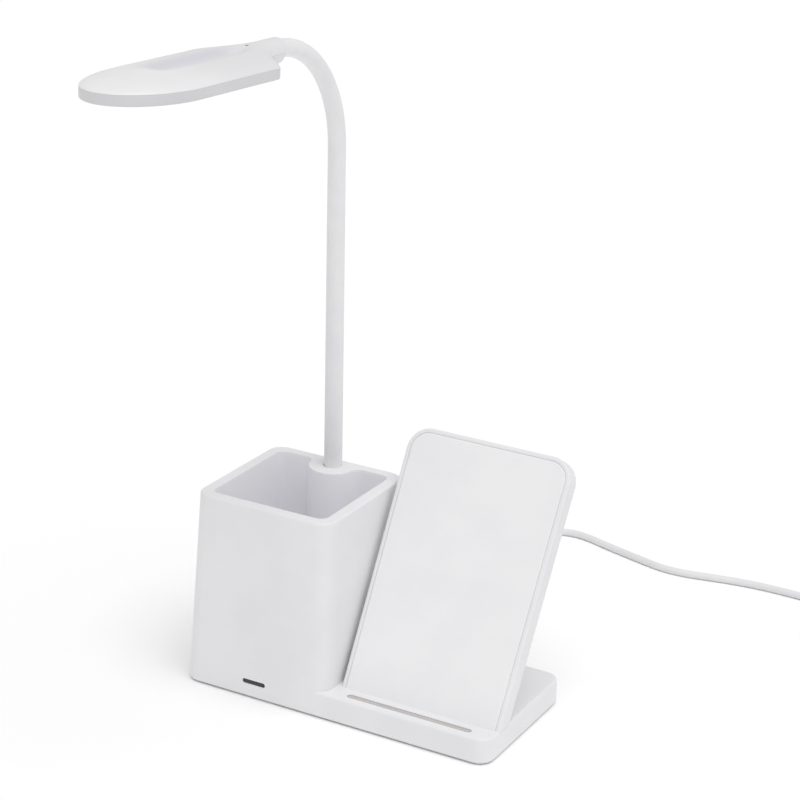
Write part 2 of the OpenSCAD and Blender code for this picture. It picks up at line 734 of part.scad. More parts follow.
module lead_0() color(lead_red) translate([neck_x, neck_y, retainer_z])
    cylinder(r = wire_r, h = lean_z - lead_gap - retainer_z);
module lead_1() color(lead_red) on_neck() straight_lead(lean_step);
module lead_2() color(lead_red) on_neck() translate([0, 0, lean_step])
    straight_lead(arc_z - lean_step);
module lead_3() color(lead_red) on_neck() bend_lead(0, bend_step);
module lead_4() color(lead_red) on_neck() bend_lead(bend_step, 2 * bend_step);
module lead_5() color(lead_red) on_neck() bend_lead(2 * bend_step, 3 * bend_step);
module lead_6() color(lead_red) on_neck() {
    from = 3 * bend_step + arc_deg(lead_gap);
    end = bend_place(bend_angle);
    tube(concat([for (i = [0:6]) bend_place(from + (bend_angle - from) * i / 6)],
        [end + (head_run + 6) * [0, -sin(bend_angle), cos(bend_angle)]]), wire_r, 8, [1, 0, 0]);
}

// ---- head: x across, -y towards the tip, z up, origin on the neck's axis at the bend's end ----
module on_head() {
    on_neck() at_bend(bend_angle) rotate([-90, 0, 0]) children();
}
tip_u = head_len - tip_len;              // where the rounded tip starts
half_w = head_w / 2;
collar_start = 2;                        // rear end of the collar, on top
collar_under = 4.5;                      // and of its round underside
skirt_from = 16;                         // rear end of the skirt
shoulder_slope = 0.94;                   // of the sides between the collar and the shoulders
dish_end = tip_u + 4.5;                  // front end of the dish

// The larger and the smaller of two lengths, with the corner between them rounded over k
function round_max(a, b, k) = max(a, b) + pow(max(k - abs(a - b), 0) / k, 2) * k / 4;
function round_min(a, b, k) = -round_max(-a, -b, k);
function smooth(t) = let (c = min(max(t, 0), 1)) c * c * (3 - 2 * c);

// Half width of the head at u from the neck's end: collar, sloping shoulder, straight side, tip
function side_at(u) = round_min(half_w,
    round_max(collar_half_w, half_w - (shoulder_u - u) * shoulder_slope, 5), 2.5);
function head_half(u, inset) = u <= tip_u ? side_at(u) - inset
    : (half_w - inset) * sqrt(max(1 - pow((u - tip_u) / (tip_len - inset), 2), 0));

// Height of the crown over the skirt, with its dish
crown_fall = tip_u - 15;                 // where the crown starts to fall to the tip
function ridge(u, drop) = let (t = max((u - crown_fall) / (head_len - crown_fall - drop), 0))
    (collar_h + skirt_top + (crown_h - collar_h - skirt_top) * smooth((u - 10) / 45) - drop)
    * pow(max(1 - pow(t, 2.4), 0), 0.6);
function dish(u, v) = dish_depth * pow(max(1 - pow(v / dish_half_w, 2), 0), 2)
    * smooth((u - 26) / 18) * smooth((dish_end - u) / 14);
function crown(u, s, inset, drop) = ridge(u, drop) * pow(max(1 - s * s, 0), 0.6)
    - dish(u, s * (half_w - inset));

// Distances from the neck's end at which the head's sections are taken, closer at the tip
function stations(u0, inset, n, m) = concat([for (i = [0:n]) u0 + (tip_u - u0) * i / n],
    [for (i = [1:m - 1]) tip_u + (tip_len - inset) * sin(90 * i / m)]);

module head_plan(inset, u0) {
    us = stations(u0, inset, 30, 12);
    polygon(concat([for (u = us) [head_half(u, inset), -u]], [[0, -head_len + inset]],
        [for (i = [len(us) - 1:-1:0]) [-head_half(us[i], inset), -us[i]]]));
}

// Solid under the crown: a grid of sections, closed by a flat underside, a rear end and the tip
module crown_block(inset, drop, u0, n, m, cols) {
    us = stations(u0, inset, n, m);
    last = len(us) - 1;
    points = concat(
        [for (u = us) for (j = [0:cols])
            let (s = -cos(180 * j / cols))
            [head_half(u, inset) * s, -u, crown(u, s, inset, drop)]],
        [[0, -head_len + inset, 0]]);
    tip = len(points) - 1;
    at = function(i, j) i * (cols + 1) + j;
    polyhedron(points, concat(
        [for (i = [0:last - 1], j = [0:cols - 1]) [at(i, j), at(i, j + 1), at(i + 1, j)]],
        [for (i = [0:last - 1], j = [0:cols - 1]) [at(i, j + 1), at(i + 1, j + 1), at(i + 1, j)]],
        [for (i = [0:last - 1]) [at(i, 0), at(i + 1, 0), at(i + 1, cols)]],
        [for (i = [0:last - 1]) [at(i, 0), at(i + 1, cols), at(i, cols)]],
        [for (j = [0:cols - 1]) [at(last, j), at(last, j + 1), tip]],
        [[at(last, 0), tip, at(last, cols)]],
        [for (j = [1:cols - 1]) [at(0, 0), at(0, j + 1), at(0, j)]]));
}

collar_bore = sleeve_r + 0.3;
clip_u = 7;                               // where the clip holds the hose in the collar
clip_t = 1;
touch_u = 30;                             // touch mark's distance from the neck's end
spring_r = 2.2;
// top of the touch switch's spring, under the lowest of the crown over it
spring_top = crown(touch_u + spring_r, 0, head_wall, head_wall) - skirt_top - 0.2;
cover_from = 18;                          // the crown is hollow from here to the tip
screw_u = [shoulder_u + 15.5, tip_u - 3.5];
screw_v = 20;
head_screw_spots = [for (x = [-screw_v, screw_v], u = screw_u) [x, u]];

module neck_way() {
    // sleeve, hose and clip seats in the collar, along the neck's axis
    translate([0, 1 - collar_start, 0]) rotate([90, 0, 0])
        cylinder(r = collar_bore, h = sleeve_run + 1.3 - collar_start);
    translate([0, -1.9, 0]) rotate([90, 0, 0]) cylinder(r = hose_r + run_gap, h = 30);
    translate([0, -clip_u + 0.1, 0]) rotate([90, 0, 0]) cylinder(r = hose_r + 1.1, h = clip_t + 0.2);
}

module head_cover() color(white) on_head() {
    difference() {
        translate([0, 0, -skirt_top]) crown_block(0, 0, collar_start, 28, 8, 20);
        translate([0, 0, -skirt_top - eps]) crown_block(head_wall, head_wall, cover_from, 18, 6, 14);
        neck_way();
        translate([0, -touch_u, -5]) cylinder(r = 1, h = 20);
    }
    // screw posts under the crown
    for (p = head_screw_spots) translate([p[0], -p[1], -skirt_top]) difference() {
        cylinder(r = 2.4, h = crown(p[1], p[0] / half_w, 0, 0) - 0.8);
        translate([0, 0, -1]) cylinder(r = 0.9, h = 4);
    }
}

deck_t = 1.4;
skirt_z = -skirt_top - skirt_h;
lead_room = 42;                           // front end of the room for the leads
module head_housing() color(white) on_head() difference() {
    union() {
        translate([0, 0, skirt_z]) linear_extrude(skirt_h - eps) head_plan(0, skirt_from);
        // rounded underside of the collar
        intersection() {
            translate([0, -collar_under, 0]) rotate([90, 0, 0]) cylinder(r = collar_under_r, h = 18);
            translate([-20, -60, -20]) cube([40, 80, 20 - skirt_top - eps]);
        }
    }
    // light chamber under the deck
    translate([0, 0, skirt_z - 1]) linear_extrude(1 + skirt_h - deck_t) chamber_plan(0);
    // room for the leads, behind the chamber
    translate([0, 0, skirt_z + head_wall]) linear_extrude(skirt_h) intersection() {
        head_plan(head_wall, cover_from);
        translate([-half_w, -lead_room]) square([2 * half_w, lead_room - cover_from]);
    }
    neck_way();
    for (p = head_screw_spots) translate([p[0], -p[1], skirt_z]) cylinder(r = 1.3, h = 20);
}

// Plan of the light chamber: the head's outline, in by the frame's width
chamber_u = lead_room + 4;
module chamber_plan(gap) {
    intersection() {
        head_plan(diffuser_margin + gap, shoulder_u);
        translate([-half_w, -head_len]) square([2 * half_w, head_len - chamber_u - gap]);
    }
}

module head_diffuser() color([0.97, 0.97, 0.95]) on_head()
    translate([0, 0, skirt_z + 0.3]) linear_extrude(diffuser_t) chamber_plan(fit_gap);

led_z = -skirt_top - deck_t - 1.1;       // underside of the led board
led_pitch = [8, 11];
module led_board() color([0.85, 0.86, 0.88]) on_head()
    translate([0, 0, led_z]) linear_extrude(1) difference() {
        chamber_plan(1);
        for (p = head_screw_spots) translate([p[0], -p[1]]) circle(2.6);
    }
module led_grid() {
    for (i = [0:6], j = [-2:2])
        translate([j * led_pitch[0], -screw_u[0] - 6 - i * led_pitch[1]]) children();
}
module leds() color([0.98, 0.95, 0.7]) on_head()
    translate([0, 0, led_z - 0.6]) linear_extrude(0.6) led_grid() square([2.8, 2.8], center = true);
module reflector() color([0.96, 0.96, 0.96]) on_head()
    translate([0, 0, led_z - 0.4]) linear_extrude(0.3) difference() {
        chamber_plan(1.2);
        led_grid() square([3.6, 3.6], center = true);
        for (p = head_screw_spots) translate([p[0], -p[1]]) circle(2.6);
    }

module touch_board() color(board_green) on_head()
    translate([0, -touch_u - 3, -0.6]) linear_extrude(1) rrect(12, 14, 1);
module touch_spring() color([0.75, 0.72, 0.6]) on_head()
    translate([0, -touch_u, 0.45]) cylinder(r = spring_r, h = spring_top - 0.45);
module touch_mark() color([0.3, 0.3, 0.32]) on_head()
    translate([0, -touch_u, spring_top + 0.1]) cylinder(r = 0.9,
        h = crown(touch_u, 0, 0, 0) - skirt_top - spring_top);

module hose_clip() color([0.5, 0.5, 0.52]) on_head()
    translate([0, -clip_u, 0]) rotate([90, 0, 0]) ring(hose_r + 0.9, hose_r - 0.4, clip_t);

module head_screws() color(screw_steel) on_head()
    for (p = head_screw_spots) translate([p[0], -p[1], -skirt_top - deck_t - 1.2]) {
        cylinder(r = 2, h = 1.1);
        cylinder(r = 0.8, h = 4);
    }

// ---- supply cord ----
relief_r = 3.6;                           // neck of the strain relief in the base's wall
relief_in = 8;                            // its reach into the base
module strain_relief() color(white)
    translate([cord_x, base_d / 2, cord_z]) rotate([-90, 0, 0]) difference() {
        union() {
            translate([0, 0, -relief_in]) cylinder(r = relief_r - 0.1, h = relief_in + 2);
            translate([0, 0, -4.5]) cylinder(r = relief_r + 1, h = 1.6);
            translate([0, 0, -0.1]) cylinder(r = relief_r + 1, h = 2);
            translate([0, 0, 1.8])
                cylinder(r1 = relief_r + 0.1, r2 = cord_d / 2 + 0.5, h = relief_len - 1.8);
        }
        translate([0, 0, -relief_in - 1]) cylinder(r = supply_r + 0.1, h = 8);
    }

// Route of the cord over the desk, from the strain relief to the coil
cord_route = [[-25, 66.75, 8.5], [-25, 73, 8.3], [-25.1, 81, 7.3], [-25.4, 90, 5.5], [-25.8, 99, 3.7],
    [-26.2, 108, 2.6], [-26.6, 118, 2.2], [-27, 130, 2.2], [-27.3, 143, 2.2], [-27.4, 156, 2.2],
    [-27.4, 169, 2.2], [-27.2, 182, 2.2], [-26.8, 195, 2.2], [-25.8, 207, 2.2], [-24, 219, 2.2],
    [-21, 230.5, 2.2], [-16.6, 241, 2.2], [-10.4, 250, 2.2], [-2, 256.4, 2.2], [8, 258.6, 2.2],
    [19, 256.9, 2.2], [31, 252.8, 2.2], [43, 249.1, 2.2], [55, 245.6, 2.2], [67, 242.2, 2.2],
    [79, 240.1, 2.2], [91, 240.6, 2.2], [104, 243.3, 2.2], [118, 246.3, 2.2], [132, 248.4, 2.2],
    [146, 249.3, 2.2], [160, 249.2, 2.2], [174, 248.4, 2.3], [188, 247.2, 2.6], [202, 246.3, 3],
    [216.6, 246, 3.15]];

// Coil: in from its north end in a lower layer, up half a turn at the middle, and out again above
turn_step = cord_d + 0.6;                 // between turns beside and on each other
coil_reverse = 3.5;                       // turns before the spiral goes out again
coil_over = 2 * coil_reverse;             // turns at which the cord is over its start
coil_tail = 0.25;                         // of a turn, down beside the coil to the plug
coil_x = 221;
coil_end = cord_route[len(cord_route) - 1];
coil_out = coil_in + coil_reverse * turn_step;
coil_y = coil_end[1] - coil_out;
coil_z = coil_end[2];
plug_z = plug_h / 2;

function coil_radius(t) = let (a = abs(t - coil_reverse))
    coil_in + turn_step * (a < 0.25 ? 2 * a * a + 0.125 : a)
    + 1.3 * turn_step * smooth((t - coil_over + 0.1) / (coil_tail + 0.1));
function coil_height(t) = coil_z + turn_step * smooth((t - coil_reverse + 0.25) / 0.5)
    + (plug_z - coil_z - turn_step) * smooth((t - coil_over) / coil_tail);
function coil_place(t) = [coil_x + coil_radius(t) * sin(360 * t), coil_y + coil_radius(t) * cos(360 * t),
    coil_height(t)];
coil_last = coil_over + coil_tail;
plug_x = coil_x + coil_radius(coil_last);
coil_points = concat([coil_end, [coil_x - 0.5, coil_end[1], coil_z]],
    [for (i = [1:24 * coil_last]) coil_place(i / 24)],
    [[plug_x, coil_y - cord_d, plug_z]]);

// Length of the cord from the base, and the coil's least gap to itself
function run_length(p) = [for (i = [1:len(p) - 1]) norm(p[i] - p[i - 1])] * [for (i = [1:len(p) - 1]) 1];
echo(cord_length = relief_len + run_length(cord_route) + run_length(coil_points));
echo(coil_gap = min([for (i = [0:len(coil_points) - 1]) for (j = [i + 12:1:len(coil_points) - 1])
    norm(coil_points[i] - coil_points[j])]) - cord_d);

module cord() color(white) tube(cord_route, cord_d / 2, 10);
module cord_coil() color(white) tube(coil_points, cord_d / 2, 6);

// Tie round the turns on the coil's left side
module cord_tie() color([0.85, 0.85, 0.86]) {
    inner = coil_radius(coil_reverse + 0.25) - cord_d / 2 - 1.2;
    outer = coil_radius(coil_over - 0.25) + cord_d / 2 + 0.3;
    low = coil_z - cord_d / 2 - fit_gap;
    high = coil_z + turn_step + cord_d / 2 + fit_gap;
    translate([coil_x - (inner + outer) / 2, coil_y + tie_w / 2, (low + high) / 2])
        rotate([90, 0, 0]) linear_extrude(tie_w) difference() {
            rrect(outer - inner + 2 * tie_t, high - low + 2 * tie_t, 2.4);
            rrect(outer - inner, high - low, 1.6);
        }
}

// Plug: its length runs along -y from the coil's end
module on_plug() {
    translate([plug_x, coil_y - cord_d, plug_z]) rotate([90, 0, 0]) children();
}
plug_neck = 8;
module plug_body() color(white) on_plug() {
    cylinder(r1 = cord_d / 2 + 0.4, r2 = plug_h / 2 - 0.4, h = plug_neck);
    translate([0, 0, plug_neck]) linear_extrude(plug_len) rrect(plug_w, plug_h, 2);
}
module plug_shell() color([0.78, 0.78, 0.8]) on_plug()
    translate([0, 0, plug_neck + plug_len]) linear_extrude(12) difference() {
        rrect(12, 4.5, 0.6);
        rrect(11.4, 3.9, 0.4);
    }
module plug_tongue() color([0.92, 0.92, 0.92]) on_plug()
    translate([0, 0.9, plug_neck + plug_len]) linear_extrude(11) square([11, 1.8], center = true);

body_shell();
rest_casing();
bottom_cover();
grip_pad();
cover_screws();
rest_screws();
ballast_plate();
main_board();
board_parts();
board_screws();
inner_leads();
status_window();
status_board();
front_plate();
charging_coil();
ferrite_sheet();
charger_board();
grip_strip();
neck_bush();
neck_retainer();
strain_relief();
cord();
cord_coil();
cord_tie();
plug_body();
plug_shell();
plug_tongue();
neck_ferrule();
hose_0();
hose_1();
hose_2();
hose_3();
hose_4();
hose_5();
hose_6();
sleeve_0();
sleeve_1();
sleeve_2();
sleeve_3();
sleeve_4();
sleeve_5();
sleeve_6();
lead_0();
lead_1();
lead_2();
lead_3();
lead_4();
lead_5();
lead_6();
head_cover();
head_housing();
head_diffuser();
led_board();
leds();
reflector();
touch_board();
touch_spring();
touch_mark();
hose_clip();
head_screws();
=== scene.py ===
"""A white desk lamp: pen cup, bendable neck, flat oblong head and a leaning charging rest.

Lengths are in millimetres until a mesh is made. X is to the right, Y to the back, Z up.
"""

from math import atan2, cos, pi, radians, sin, sqrt, tan

import bmesh
import bpy
import numpy as np
from mathutils import Matrix, Vector


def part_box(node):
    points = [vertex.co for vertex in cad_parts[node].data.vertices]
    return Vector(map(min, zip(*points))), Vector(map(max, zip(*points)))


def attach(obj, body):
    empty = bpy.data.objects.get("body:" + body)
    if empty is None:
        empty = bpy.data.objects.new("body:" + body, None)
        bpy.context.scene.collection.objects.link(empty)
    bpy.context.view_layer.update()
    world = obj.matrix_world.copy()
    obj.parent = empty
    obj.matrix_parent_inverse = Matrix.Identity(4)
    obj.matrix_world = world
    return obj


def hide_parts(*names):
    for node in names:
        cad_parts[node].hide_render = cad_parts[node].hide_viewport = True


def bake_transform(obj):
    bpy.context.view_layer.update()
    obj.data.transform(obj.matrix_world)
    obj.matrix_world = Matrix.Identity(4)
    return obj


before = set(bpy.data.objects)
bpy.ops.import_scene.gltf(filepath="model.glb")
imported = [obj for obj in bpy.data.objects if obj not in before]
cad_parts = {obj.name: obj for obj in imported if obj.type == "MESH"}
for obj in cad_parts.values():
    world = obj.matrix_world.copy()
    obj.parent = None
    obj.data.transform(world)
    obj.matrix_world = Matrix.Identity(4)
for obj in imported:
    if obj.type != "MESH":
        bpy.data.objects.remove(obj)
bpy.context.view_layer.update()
MM = 0.001

# ---- driving sizes of the part ----
BASE_W, BASE_D, BASE_T = 190.0, 93.5, 15.5
BASE_CORNER, EDGE_R, TOP_EDGE_R, LIP = 9.0, 1.6, 1.5, 5.6
PAD_T, COVER_T = 0.8, 2.4
CUP_W, CUP_H, CUP_DRAFT, RIM_W = 91.5, 113.0, 1.75, 6.75
LINER_R, LINER_DRAFT, CUP_FLOOR, RIM_EDGE = 5.0, 1.0, 18.5, 1.2
BOSS_R, BOSS_FILLET, NECK_INSET = 13.5, 5.0, 13.0
HOSE_R, SLEEVE_WALL = 4.0, 0.9
NECK_HOLE_GAP, HEAD_BORE_GAP = 0.17, 0.3
NECK_STRAIGHT, BEND_R, BEND_ANGLE, NECK_LEAN = 183.5, 64.0, 87.6, 1.3
LEAN_START, LEAN_STEP = 24.0, 48.0
# Places on the head, such as SHOULDER_U and DISH_START, count from the neck's end towards the tip
HEAD_W, HEAD_LEN, TIP_LEN, SHOULDER_U = 56.8, 156.5, 43.0, 43.5
SHOULDER_SLOPE, SHOULDER_ROUND, COLLAR_ROUND = 0.94, 2.5, 5.0
SKIRT_H, SKIRT_TOP, SKIRT_EDGE, CROWN_H, CROWN_POWER = 5.5, 1.1, 0.8, 6.2, 0.6
TIP_FALL, TIP_POWER = 15.0, 2.4
DISH_DEPTH, DISH_HALF, DISH_START, DISH_RISE = 3.3, 9.5, 26.0, 18.0
DISH_PAST_TIP, DISH_FALL = 4.5, 14.0
COLLAR_HALF, COLLAR_H, COLLAR_START, COLLAR_TO_CROWN = 7.6, 6.0, 2.0, (10.0, 55.0)
COLLAR_UNDER_R, COLLAR_UNDER, COLLAR_EDGE, NOSE_START, NOSE_LEN = 7.8, 4.5, 1.2, 14.0, 12.0
SKIRT_FROM, DIFFUSER_MARGIN, CHAMBER_U, CHAMBER_ROOF = 16.0, 4.5, 46.0, 1.4
TOUCH_U, TOUCH_R, TOUCH_BORE_R = 30.0, 0.88, 0.95
PANEL_ANGLE, PANEL_LEN, PANEL_T = 30.5, 150.0, 11.0
PANEL_CORNER, PANEL_EDGE, PANEL_GAP, PANEL_SLOPE, PANEL_SETBACK = 13.0, 1.2, 2.0, 0.019, 13.9
PANEL_SINK, PLATE_INSET, PLATE_PROUD, PLATE_SEAM = 0.5, 2.6, 0.3, 0.4
STRIP_LEN, STRIP_W, STRIP_SETBACK, STRIP_INSET, STRIP_DEPTH = 75.5, 3.9, 6.6, 13.0, 1.3
WINDOW_LEN, WINDOW_H, WINDOW_Z = 14.5, 2.6, 10.0
CORD_D, CORD_X, CORD_Z, RELIEF_LEN, RELIEF_R = 4.4, -25.0, 8.5, 20.0, 3.6
COIL_IN, COIL_REVERSE, COIL_TAIL, COIL_X = 14.0, 3.5, 0.25, 221.0
PLUG_W, PLUG_H, PLUG_LEN, PLUG_NECK = 15.6, 8.2, 27.0, 8.0

# ---- places that follow from them ----
CUP_X = -BASE_W / 2 + CUP_W / 2
NECK_X, NECK_Y = CUP_X, BASE_D / 2 - NECK_INSET
CUP_LEAN, LINER_LEAN = tan(radians(CUP_DRAFT)), tan(radians(LINER_DRAFT))
SLEEVE_R = HOSE_R + 0.1 + SLEEVE_WALL
HEAD_BORE_R = SLEEVE_R + HEAD_BORE_GAP
LEAN_Z = CUP_H + LEAN_START
ARC_Z = NECK_STRAIGHT - LEAN_START
BEND_STEP = BEND_ANGLE / 4
# Along the neck's middle from the first bending place: where the sleeve leaves the boss, and the head
NECK_ROOT, NECK_END = -20.0, ARC_Z + BEND_R * radians(BEND_ANGLE)
PANEL_LEFT, PANEL_RIGHT = CUP_X + CUP_W / 2 + PANEL_GAP, BASE_W / 2
PANEL_Y = -BASE_D / 2 + PANEL_SETBACK
RISE = cos(radians(90 - PANEL_ANGLE)), sin(radians(90 - PANEL_ANGLE))
STRIP_X = BASE_W / 2 - STRIP_INSET - STRIP_LEN / 2
STRIP_Y = -BASE_D / 2 + STRIP_SETBACK
TIP_U = HEAD_LEN - TIP_LEN
DISH_END = TIP_U + DISH_PAST_TIP
SKIRT_LOW = -SKIRT_TOP - SKIRT_H


# ======================= camera =======================

# The photograph's camera, found from the base, the cup, the rest and the neck
VIEW_AZIMUTH, VIEW_HEIGHT, VIEW_ROLL = 27.69, 20.41, 2.48
VIEW_TARGET = 11.38, -3.75, 175.79
VIEW_DISTANCE, VIEW_F_PX, FRAME_PX = 1259.95, 2373.15, 800
VIEW_CENTRE_PX = 399.36, 401.25


def camera():
    """A camera at VIEW_DISTANCE from its target, turned by azimuth, height and roll."""
    a, e, r = (radians(v) for v in (VIEW_AZIMUTH, VIEW_HEIGHT, VIEW_ROLL))
    back = Vector((sin(a) * cos(e), -cos(a) * cos(e), sin(e)))
    level = Vector((cos(a), sin(a), 0))
    tall = back.cross(level)
    right, up = level * cos(r) + tall * sin(r), tall * cos(r) - level * sin(r)
    data = bpy.data.cameras.new("view")
    data.sensor_width = 36
    data.lens = VIEW_F_PX / FRAME_PX * data.sensor_width
    data.shift_x = (FRAME_PX / 2 - VIEW_CENTRE_PX[0]) / FRAME_PX
    data.shift_y = (VIEW_CENTRE_PX[1] - FRAME_PX / 2) / FRAME_PX
    data.clip_end = 20
    cam = bpy.data.objects.new("view", data)
    turn = Matrix((right, up, back)).transposed().to_4x4()
    place = (Vector(VIEW_TARGET) + back * VIEW_DISTANCE) * MM
    cam.matrix_world = Matrix.Translation(place) @ turn
    bpy.context.scene.collection.objects.link(cam)
    bpy.context.scene.camera = cam
    bpy.context.scene.view_settings.view_transform = "Standard"


# ======================= shader maths =======================


class Sock:
    """A shader socket on which + and * add Math nodes."""

    def __init__(self, tree, out):
        self.tree, self.out = tree, out

    def math(self, operation, *values):
        return self.tree.node("ShaderNodeMath", {"operation": operation}, dict(enumerate(values)))

    def __add__(self, v):
        return self.math("ADD", self, v)

    def __mul__(self, v):
        return self.math("MULTIPLY", self, v)

    __radd__, __rmul__ = __add__, __mul__

    def steps(self, low, high):
        """0 below low, 1 above high, smooth between."""
        return self.tree.node(
            "ShaderNodeMapRange", {"interpolation_type": "SMOOTHSTEP"}, {0: self, 1: low, 2: high}
        )


class Finish:
    """A node tree with one Principled shader."""

    def __init__(self, name, **sockets):
        self.mat = bpy.data.materials.new(name)
        self.mat.use_nodes = True
        self.nodes, self.links = self.mat.node_tree.nodes, self.mat.node_tree.links
        self.shader = self.nodes["Principled BSDF"]
        for key, value in sockets.items():
            self.feed(key.replace("_", " "), value)

    def feed(self, socket, value):
        self.put(self.shader.inputs[socket], value)

    def put(self, target, value):
        if isinstance(value, Sock):
            self.links.new(value.out, target)
        elif isinstance(value, (tuple, list)) and len(value) == 3 and target.type == "RGBA":
            target.default_value = (*value, 1)
        else:
            target.default_value = value

    def node(self, kind, settings=None, inputs=None, out=0):
        """The output of a new node, with its settings made first and then its sockets' values or links."""
        n = self.nodes.new(kind)
        for key, value in (settings or {}).items():
            setattr(n, key, value)
        for key, value in (inputs or {}).items():
            self.put(n.inputs[key], value)
        return Sock(self, n.outputs[out])

    def place(self, scale=(1, 1, 1)):
        """Object coordinates in millimetres times scale."""
        here = self.node("ShaderNodeTexCoord", out="Object")
        return self.node("ShaderNodeMapping", None, {0: here, 3: tuple(1000 * s for s in scale)})

    def noise(self, size, detail=2, scale=(1, 1, 1), rough=0.5):
        """Noise from 0 to 1 whose blotches are about size millimetres across."""
        return self.node(
            "ShaderNodeTexNoise", None,
            {"Vector": self.place(scale), "Scale": 1 / size, "Detail": detail, "Roughness": rough},
        )

    def mix(self, factor, a, b):
        """Colour a where factor is 0, b where it is 1."""
        return self.node("ShaderNodeMix", {"data_type": "RGBA"}, {0: factor, 6: a, 7: b}, out=2)

    def bump(self, height, depth):
        """The surface raised by height, depth millimetres deep."""
        settings = {"Height": height, "Strength": 1.0, "Distance": depth * MM}
        self.feed("Normal", self.node("ShaderNodeBump", None, settings))


def moulded(name, tint, deeper, grain=0.35, depth=0.006, rough=0.42, **sockets):
    """Moulded plastic: a fine spark-eroded grain, and faint clouds of tone and gloss."""
    m = Finish(name, **sockets)
    cloud = m.noise(28, 3)
    fine = m.noise(grain, 2)
    m.feed("Base Color", m.mix(cloud.steps(0.3, 0.7), tint, deeper))
    m.feed("Roughness", rough + 0.08 * cloud + 0.05 * fine)
    m.bump(fine, depth)
    return m.mat


def head_shell_painted_light():
    """Moulded plastic with painted light and shade: paler towards the tip, as painted light, and a cooler
    painted shade in the dish and along its far flank, by the shares set on the crown's points.
    """
    m = Finish("head_shell_painted_light", Specular_IOR_Level=0.45)
    cloud, fine = m.noise(28, 3), m.noise(0.35, 2)
    # Shares of painted shade (dish) and painted light (tip), stored on the crown's points
    hollow, tip = (m.node("ShaderNodeAttribute", {"attribute_name": name}, out=2)
                   for name in ("dish", "tip"))
    # Painted light: darker near the collar, paler towards the tip
    shell = m.mix(tip, (0.75, 0.75, 0.762), (0.83, 0.83, 0.838))
    shell = m.mix(0.25 * cloud.steps(0.3, 0.7), shell, (0.72, 0.72, 0.735))
    # Painted shade: the cooler, darker colour in the dish
    m.feed("Base Color", m.mix(hollow, shell, (0.655, 0.64, 0.69)))
    m.feed("Roughness", 0.34 + 0.08 * cloud + 0.05 * fine)
    m.bump(fine, 0.006)
    return m.mat


def sleeve_rubber():
    """Silicone: matt, with faint rings left by the extruder and a little dust tone."""
    m = Finish("white_silicone", Specular_IOR_Level=0.4)
    rings = m.noise(1.1, 2, (0.15, 0.15, 1))
    cloud = m.noise(16, 3)
    m.feed("Base Color", m.mix(cloud.steps(0.3, 0.75), (0.8, 0.8, 0.81), (0.765, 0.765, 0.78)))
    m.feed("Roughness", 0.52 + 0.1 * cloud)
    m.bump(rings, 0.012)
    return m.mat


def plated(name, tint, rough=0.32, grain=0.5, depth=0.004):
    """Plated or rolled metal with fine scratches along one way and cloudy gloss."""
    m = Finish(name, Metallic=1.0)
    lines = m.noise(grain, 3, (1, 0.08, 1))
    cloud = m.noise(9, 2)
    m.feed("Base Color", m.mix(cloud, tint, tuple(0.86 * c for c in tint)))
    m.feed("Roughness", rough + 0.12 * lines)
    m.bump(lines, depth)
    return m.mat


def cast_iron():
    """A sand-cast weight: dark, pitted and rough."""
    m = Finish("cast_weight", Metallic=0.8)
    pits = m.noise(1.4, 4, rough=0.7)
    m.feed("Base Color", m.mix(pits, (0.12, 0.12, 0.125), (0.22, 0.22, 0.23)))
    m.feed("Roughness", 0.55 + 0.25 * pits)
    m.bump(pits, 0.12)
    return m.mat


def board_lacquer():
    """Solder mask over copper tracks that run along X and Y."""
    m = Finish("board_lacquer", Coat_Weight=0.4, Coat_Roughness=0.15)
    tracks = m.node("ShaderNodeTexBrick", {"offset": 0.5, "squash": 1.6}, {
        "Vector": m.place(), "Scale": 0.12, "Mortar Size": 0.035, "Mortar Smooth": 0.2,
    }, out="Fac")
    m.feed("Base Color", m.mix(tracks, (0.015, 0.12, 0.055), (0.03, 0.2, 0.09)))
    m.feed("Roughness", 0.3 + 0.15 * m.noise(3))
    m.bump(tracks, 0.03)
    return m.mat


def winding():
    """Enamelled copper wire, wound in rings about the coil's own middle."""
    m = Finish("copper_winding", Metallic=1.0)
    low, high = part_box("charging_coil")
    middle = [(a + b) / 2 for a, b in zip(low, high)]
    here = m.node("ShaderNodeTexCoord", out="Object")
    flat = m.node("ShaderNodeMapping", {"vector_type": "TEXTURE"}, {
        0: here, 1: tuple(middle), 2: (radians(90 - PANEL_ANGLE), 0, 0),
    })
    rings = m.node("ShaderNodeTexWave", {"wave_type": "RINGS", "rings_direction": "Z"}, {
        "Vector": flat, "Scale": 320.0,
    }, out="Fac")
    m.feed("Base Color", m.mix(rings, (0.35, 0.13, 0.05), (0.75, 0.36, 0.17)))
    m.feed("Roughness", 0.28 + 0.2 * rings)
    m.bump(rings, 0.1)
    return m.mat


def opal():
    """Opal diffuser: milky, hardly see-through."""
    m = Finish("opal_diffuser", Transmission_Weight=0.12)
    cloud = m.noise(7, 2)
    m.feed("Base Color", m.mix(cloud, (0.86, 0.86, 0.85), (0.9, 0.9, 0.89)))
    m.feed("Roughness", 0.5 + 0.15 * cloud)
    m.bump(m.noise(0.5), 0.01)
    return m.mat


def phosphor():
    """Yellow phosphor over the lamps, a little cloudy under a clear coat."""
    m = Finish("led_phosphor", Coat_Weight=0.5)
    cloud = m.noise(0.8)
    m.feed("Base Color", m.mix(cloud, (0.9, 0.72, 0.2), (0.95, 0.85, 0.4)))
    m.feed("Roughness", 0.3 + 0.2 * cloud)
    return m.mat


